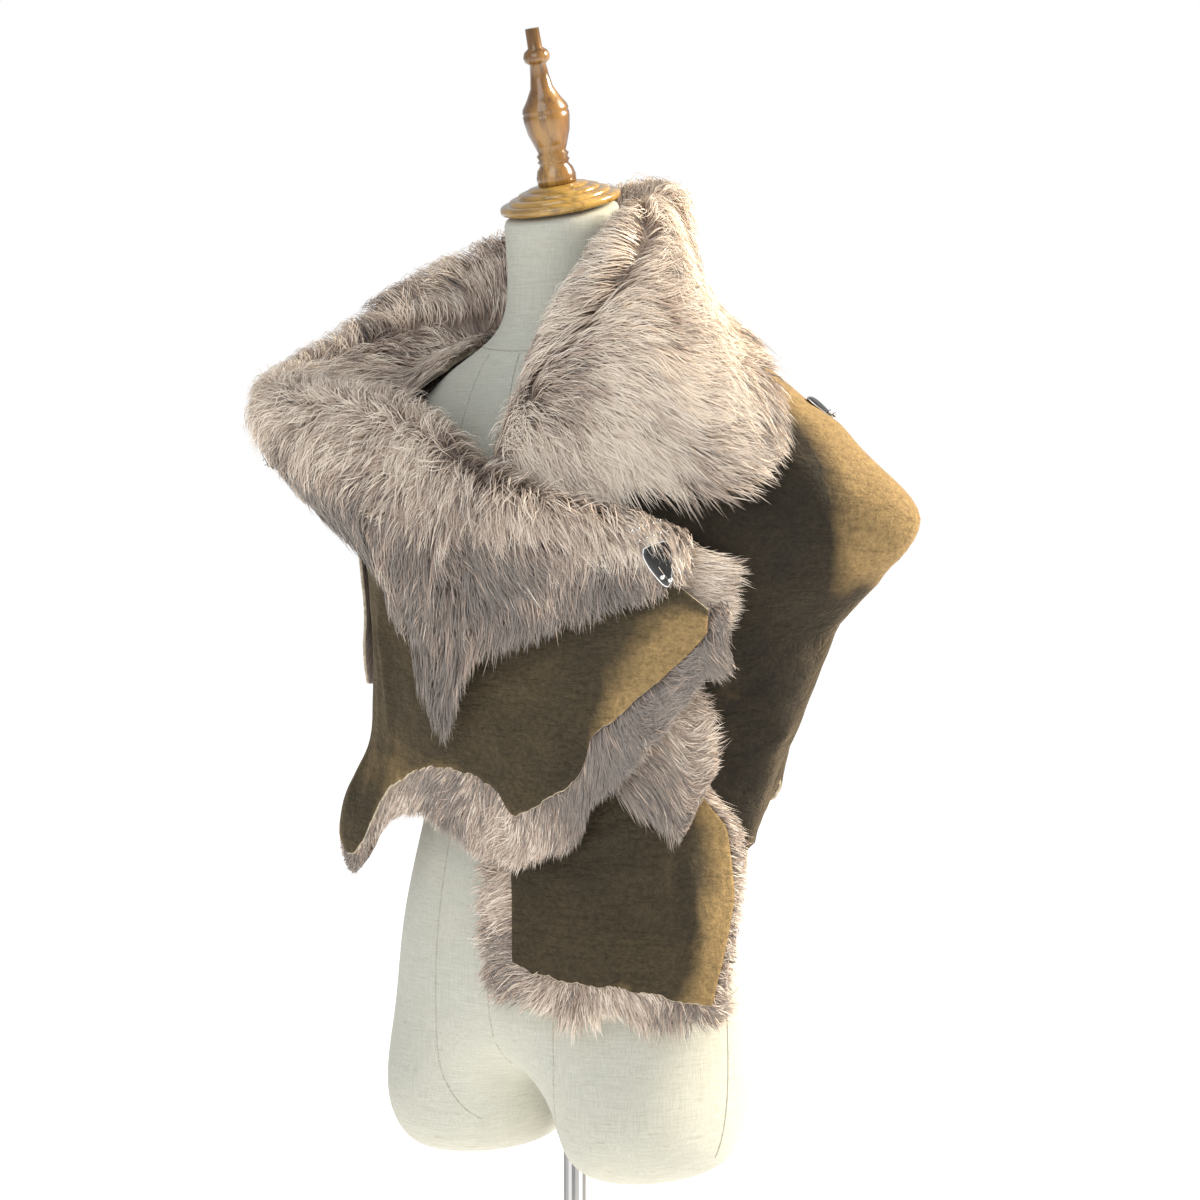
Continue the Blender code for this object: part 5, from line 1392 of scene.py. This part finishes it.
def turned(name, profile, wood, replaced, rise):
    """A turned piece: its profile swept round by a Screw and closed at its ends."""
    points = [(0, profile[0].rise), *profile, (0, profile[-1].rise)]
    lines = [(i, i + 1) for i in range(len(points) - 1)]
    mesh = bpy.data.meshes.new(name)
    mesh.from_pydata([(x * CM, 0, z * CM) for x, z in points], lines, [])
    mesh.materials.append(wood)
    piece = bpy.data.objects.new(name, mesh)
    bpy.context.scene.collection.objects.link(piece)
    screw = piece.modifiers.new("turning", "SCREW")
    screw.steps = screw.render_steps = 72
    screw.use_merge_vertices = True
    screw.merge_threshold = 0.00001
    screw.use_smooth_shade = True
    screw.use_normal_calculate = True
    piece.matrix_world = seat @ lean @ Matrix.Translation((0, 0, rise * CM))
    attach(piece, "root")
    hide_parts(replaced)


lean = Matrix.Rotation(math.radians(CAP_LEAN), 4, "X")
seat = Matrix.Translation(Vector((0, -NECK_FORWARD, NECK_TOP)) * CM)
turned("neck_cap_wood", NECK_CAP, cap_wood, "neck_cap", SEAT_GAP)
turned("finial_wood", FINIAL, finial_wood, "finial", NECK_CAP[-1].rise + 2 * SEAT_GAP)
for shown in ("floor_plate", "pole_socket", "pole"):
    solid = frame["nodes"][shown]
    solid.data.materials.clear()
    solid.data.materials.append(chrome)
print("wood and stand")

# %% [markdown]
# Each clasp is a black enamelled tab with a silver rim and two silver balls, and the front one
# has two rows of small stones above it, half hidden in the fur. Its frame comes from the packed
# solid: the three directions in which the solid's points spread the least, more and the most
# are the tab's thickness, width and length. The tables give shares of these.

# %% The clasps
enamel = speckled("black_enamel", 300, (0.3, 0.008), (0.7, 0.02), 0.28, Coat_Weight=0.3)
silver = speckled("silver", 400, (0.3, 0.75), (0.7, 0.95), 0.14, 1.0)


def tube(built, path, radius, closed=False, sides=8):
    """Adds a round tube along a path of points to a bmesh."""
    path = np.asarray(path, float)
    way = np.gradient(path, axis=0) if not closed else np.roll(path, -1, 0) - np.roll(path, 1, 0)
    way /= np.linalg.norm(way, axis=1, keepdims=True) + 1e-12
    side = np.cross(way, (0.31, 0.17, 0.93))
    side /= np.linalg.norm(side, axis=1, keepdims=True) + 1e-12
    other = np.cross(way, side)
    turns = [2 * math.pi * k / sides for k in range(sides)]
    rings = [[built.verts.new(point + radius * (math.cos(t) * s + math.sin(t) * o)) for t in turns]
             for point, s, o in zip(path, side, other)]
    for one, two in zip(rings, rings[1:]):
        band(built, one, two)
    if closed:
        band(built, rings[-1], rings[0])
    else:
        built.faces.new(rings[0])
        built.faces.new(rings[-1])


TAB_OUTLINE = ((-0.5, -0.42), (0.0, -0.5), (0.5, -0.42), (0.12, 0.5), (-0.12, 0.5))
TAB_RINGS = ((1.0, -0.5), (1.0, 0.1), (0.95, 0.34), (0.80, 0.46), (0.4, 0.56))
BALLS = ((0.10, 0.26), (-0.08, 0.38))
RIM_RADIUS, BALL_RADIUS, STONE_RADIUS, STONES_IN_ROW = 0.0007, 0.0021, 0.0012, 5


def hook(name, solid, wide=1.0, stones=0):
    """A clasp on its solid, which it replaces."""
    points = np.array([v.co for v in solid.data.vertices])
    middle = (points.max(0) + points.min(0)) / 2
    out, across, down = np.linalg.eigh(np.cov((points - points.mean(0)).T))[1].T
    out = out if out @ (middle * (1, 1, 0) + (0, 0, 0.05)) > 0 else -out
    down = down if down[2] < 0 else -down
    across = np.cross(down, out)
    width, length, depth = (np.ptp(points @ axis) for axis in (across, down, out))
    width *= wide
    corners = np.array(TAB_OUTLINE)
    for _ in range(3):
        after = np.roll(corners, -1, 0)
        corners = np.stack([0.75 * corners + 0.25 * after, 0.25 * corners + 0.75 * after], 1)
        corners = corners.reshape(-1, 2)

    def put(a, d, o):
        return middle + across * a * width + down * d * length + out * o * depth

    built = bmesh.new()
    rings = [[built.verts.new(put(a * k, d * k, o)) for a, d in corners] for k, o in TAB_RINGS]
    for one, two in zip(rings, rings[1:]):
        band(built, one, two)
    built.faces.new(rings[0])
    built.faces.new(rings[-1])
    tab = from_bmesh(name + "_tab", built, "black_clasp", enamel)
    built = bmesh.new()
    tube(built, [put(a, d, 0.12) for a, d in corners], RIM_RADIUS, closed=True)
    for a, d in BALLS:
        ball = bmesh.ops.create_uvsphere(built, u_segments=16, v_segments=10, radius=BALL_RADIUS)
        bmesh.ops.translate(built, verts=ball["verts"], vec=put(a, d, 0.75))
    for k in range(stones):
        row, place_in_row = divmod(k, STONES_IN_ROW)
        at = put(-0.42 + 0.21 * place_in_row + 0.12 * row, -0.66 - 0.26 * row, 1.0)
        gem = bmesh.ops.create_icosphere(built, subdivisions=1, radius=STONE_RADIUS)
        bmesh.ops.translate(built, verts=gem["verts"], vec=at)
        # The stones take the chrome, so its painted reflection bands make them glint.
        for face in {f for v in gem["verts"] for f in v.link_faces}:
            face.material_index = 1
    from_bmesh(name + "_trim", built, "chrome", silver, chrome)
    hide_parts(solid.name)
    print(name, "width and length in mm", round(width * 1000, 1), round(length * 1000, 1))


hook("front_hook", frame["nodes"]["front_clasp"], 1.25, 10)
hook("left_hook", frame["nodes"]["left_clasp"])
hook("right_hook", frame["nodes"]["right_clasp"])

# %% [markdown]
# A form's cover is sewn from upright panels. The seams are found by casting rays at the smooth
# form from outside, at a bearing and a height, and a thin ridge follows the points they hit.

# %% The form's seams
bpy.context.view_layer.update()
tree_of_form = BVHTree.FromObject(form, bpy.context.evaluated_depsgraph_get())


def hit(bearing, height):
    """The point in metres where the form's surface lies at a bearing and a height."""
    way = Vector((math.sin(math.radians(bearing)), -math.cos(math.radians(bearing)), 0))
    start = way * 0.5 + Vector((0, -HIP_FORWARD, height)) * CM
    found, _, _, _ = tree_of_form.ray_cast(start, -way)
    return found if found is not None and (found - way * 0.02).dot(way) > 0 else None


thread = speckled("seam_thread", 900, (0.35, (0.30, 0.29, 0.23)), (0.65, (0.55, 0.54, 0.46)), 0.9)
Seam = namedtuple("Seam", "bearing top foot")
SEAMS = (Seam(0, 139, 80), Seam(33, 139, 73), Seam(-33, 139, 73), Seam(90, 134, 73),
         Seam(-90, 134, 73), Seam(148, 139, 73), Seam(-148, 139, 73), Seam(180, 139, 80))
SEAM_RADIUS, NECK_SEAM, NECK_SEAM_TILT = 0.0006, 140.2, 0.9
built = bmesh.new()
for seam in SEAMS:
    path = [hit(seam.bearing, height) for height in np.linspace(seam.top, seam.foot, 90)]
    tube(built, [point for point in path if point is not None], SEAM_RADIUS, sides=6)
tube(built, [hit(bearing, NECK_SEAM + NECK_SEAM_TILT * math.cos(math.radians(bearing + 180)))
             for bearing in np.linspace(0, 357, 120)], SEAM_RADIUS, closed=True, sides=6)
seams = from_bmesh("form_seams", built, "linen", thread)
print("seams", len(seams.data.vertices))

# %% [markdown]
# The studio is a pale floor, a pale world, a warm lamp like the sun from the photo's upper right,
# and a weak soft lamp in front. The shoulder on the sunny side glows, with sunlight painted on its
# suede too, and the front lies in soft shade, with shade painted into the suede of the wings and
# the left front. The camera stands 2.6 m away, 38 degrees round from the front.

# %% The studio
floor_finish = speckled("pale_floor", 3, (0.3, 0.90), (0.7, 0.93), 0.9,
                        Emission_Color=(1, 1, 1, 1), Emission_Strength=0.6)
bpy.ops.mesh.primitive_plane_add(size=30)
floor = bpy.context.object
floor.name = "floor"
floor.data.materials.append(floor_finish)

world = bpy.data.worlds.new("studio")
bpy.context.scene.world = world
world.use_nodes = True
tree = world.node_tree
back = tree.nodes["Background"]
back.inputs["Color"].default_value = (0.95, 0.97, 1.0, 1)
back.inputs["Strength"].default_value = 0.54
seen = node(tree, "ShaderNodeBackground", {"Color": (1, 1, 1, 1), "Strength": 1.0})
path = node(tree, "ShaderNodeLightPath")
either = node(tree, "ShaderNodeMixShader", {0: path.outputs["Is Camera Ray"],
                                            1: back.outputs[0], 2: seen.outputs[0]})
tree.links.new(either.outputs[0], tree.nodes["World Output"].inputs["Surface"])

CAMERA_AZIMUTH = math.radians(38)
CAMERA_DISTANCE, CAMERA_SHIFT, CAMERA_HEIGHT = 2.60, 0.0195, 1.35
LOOK_DOWN = math.atan2(16.7, 260)
SENSOR, PHOTO_PIXELS, FOCAL_PIXELS = 36, 1200, 3068
into = Vector((-math.sin(CAMERA_AZIMUTH), math.cos(CAMERA_AZIMUTH), 0))
right = Vector((math.cos(CAMERA_AZIMUTH), math.sin(CAMERA_AZIMUTH), 0))
up = Vector((0, 0, 1))


def lamp(name, at, size, power, colour):
    """A square lamp at a place, turned to the cape."""
    light = bpy.data.lights.new(name, "AREA")
    light.size, light.energy, light.color = size, power, colour
    made = bpy.data.objects.new(name, light)
    bpy.context.scene.collection.objects.link(made)
    made.location = at
    made.rotation_euler = (Vector((0, 0, 1.2)) - made.location).to_track_quat("-Z", "Y").to_euler()


lamp("sun", right * 2.5 + into * 0.35 + up * 2.9, 0.9, 235, (1.0, 0.88, 0.70))
lamp("soft_front", right * -1.0 - into * 2.4 + up * 2.4, 2.0, 26, (0.97, 0.98, 1.0))

view = bpy.data.cameras.new("camera")
camera = bpy.data.objects.new("camera", view)
bpy.context.scene.collection.objects.link(camera)
camera.location = -into * CAMERA_DISTANCE + right * CAMERA_SHIFT + up * CAMERA_HEIGHT
direction = into * math.cos(LOOK_DOWN) - up * math.sin(LOOK_DOWN)
camera.rotation_mode = "QUATERNION"
camera.rotation_quaternion = direction.to_track_quat("-Z", "Y")
view.sensor_width, view.lens = SENSOR, SENSOR * FOCAL_PIXELS / PHOTO_PIXELS
view.clip_start = 0.01
bpy.context.scene.camera = camera
bpy.context.scene.view_settings.view_transform = "Standard"

# %% [markdown]
# The box of the solids is written at the start. At the end the script counts its triangles.

# %% Sizes and the end
depsgraph = bpy.context.evaluated_depsgraph_get()
total = 0
for piece in bpy.context.scene.objects:
    if piece.type == "MESH" and not piece.hide_render and piece.name not in frame["nodes"]:
        mesh = piece.evaluated_get(depsgraph).to_mesh()
        total += sum(len(face.vertices) - 2 for face in mesh.polygons)
print("triangles added", total)
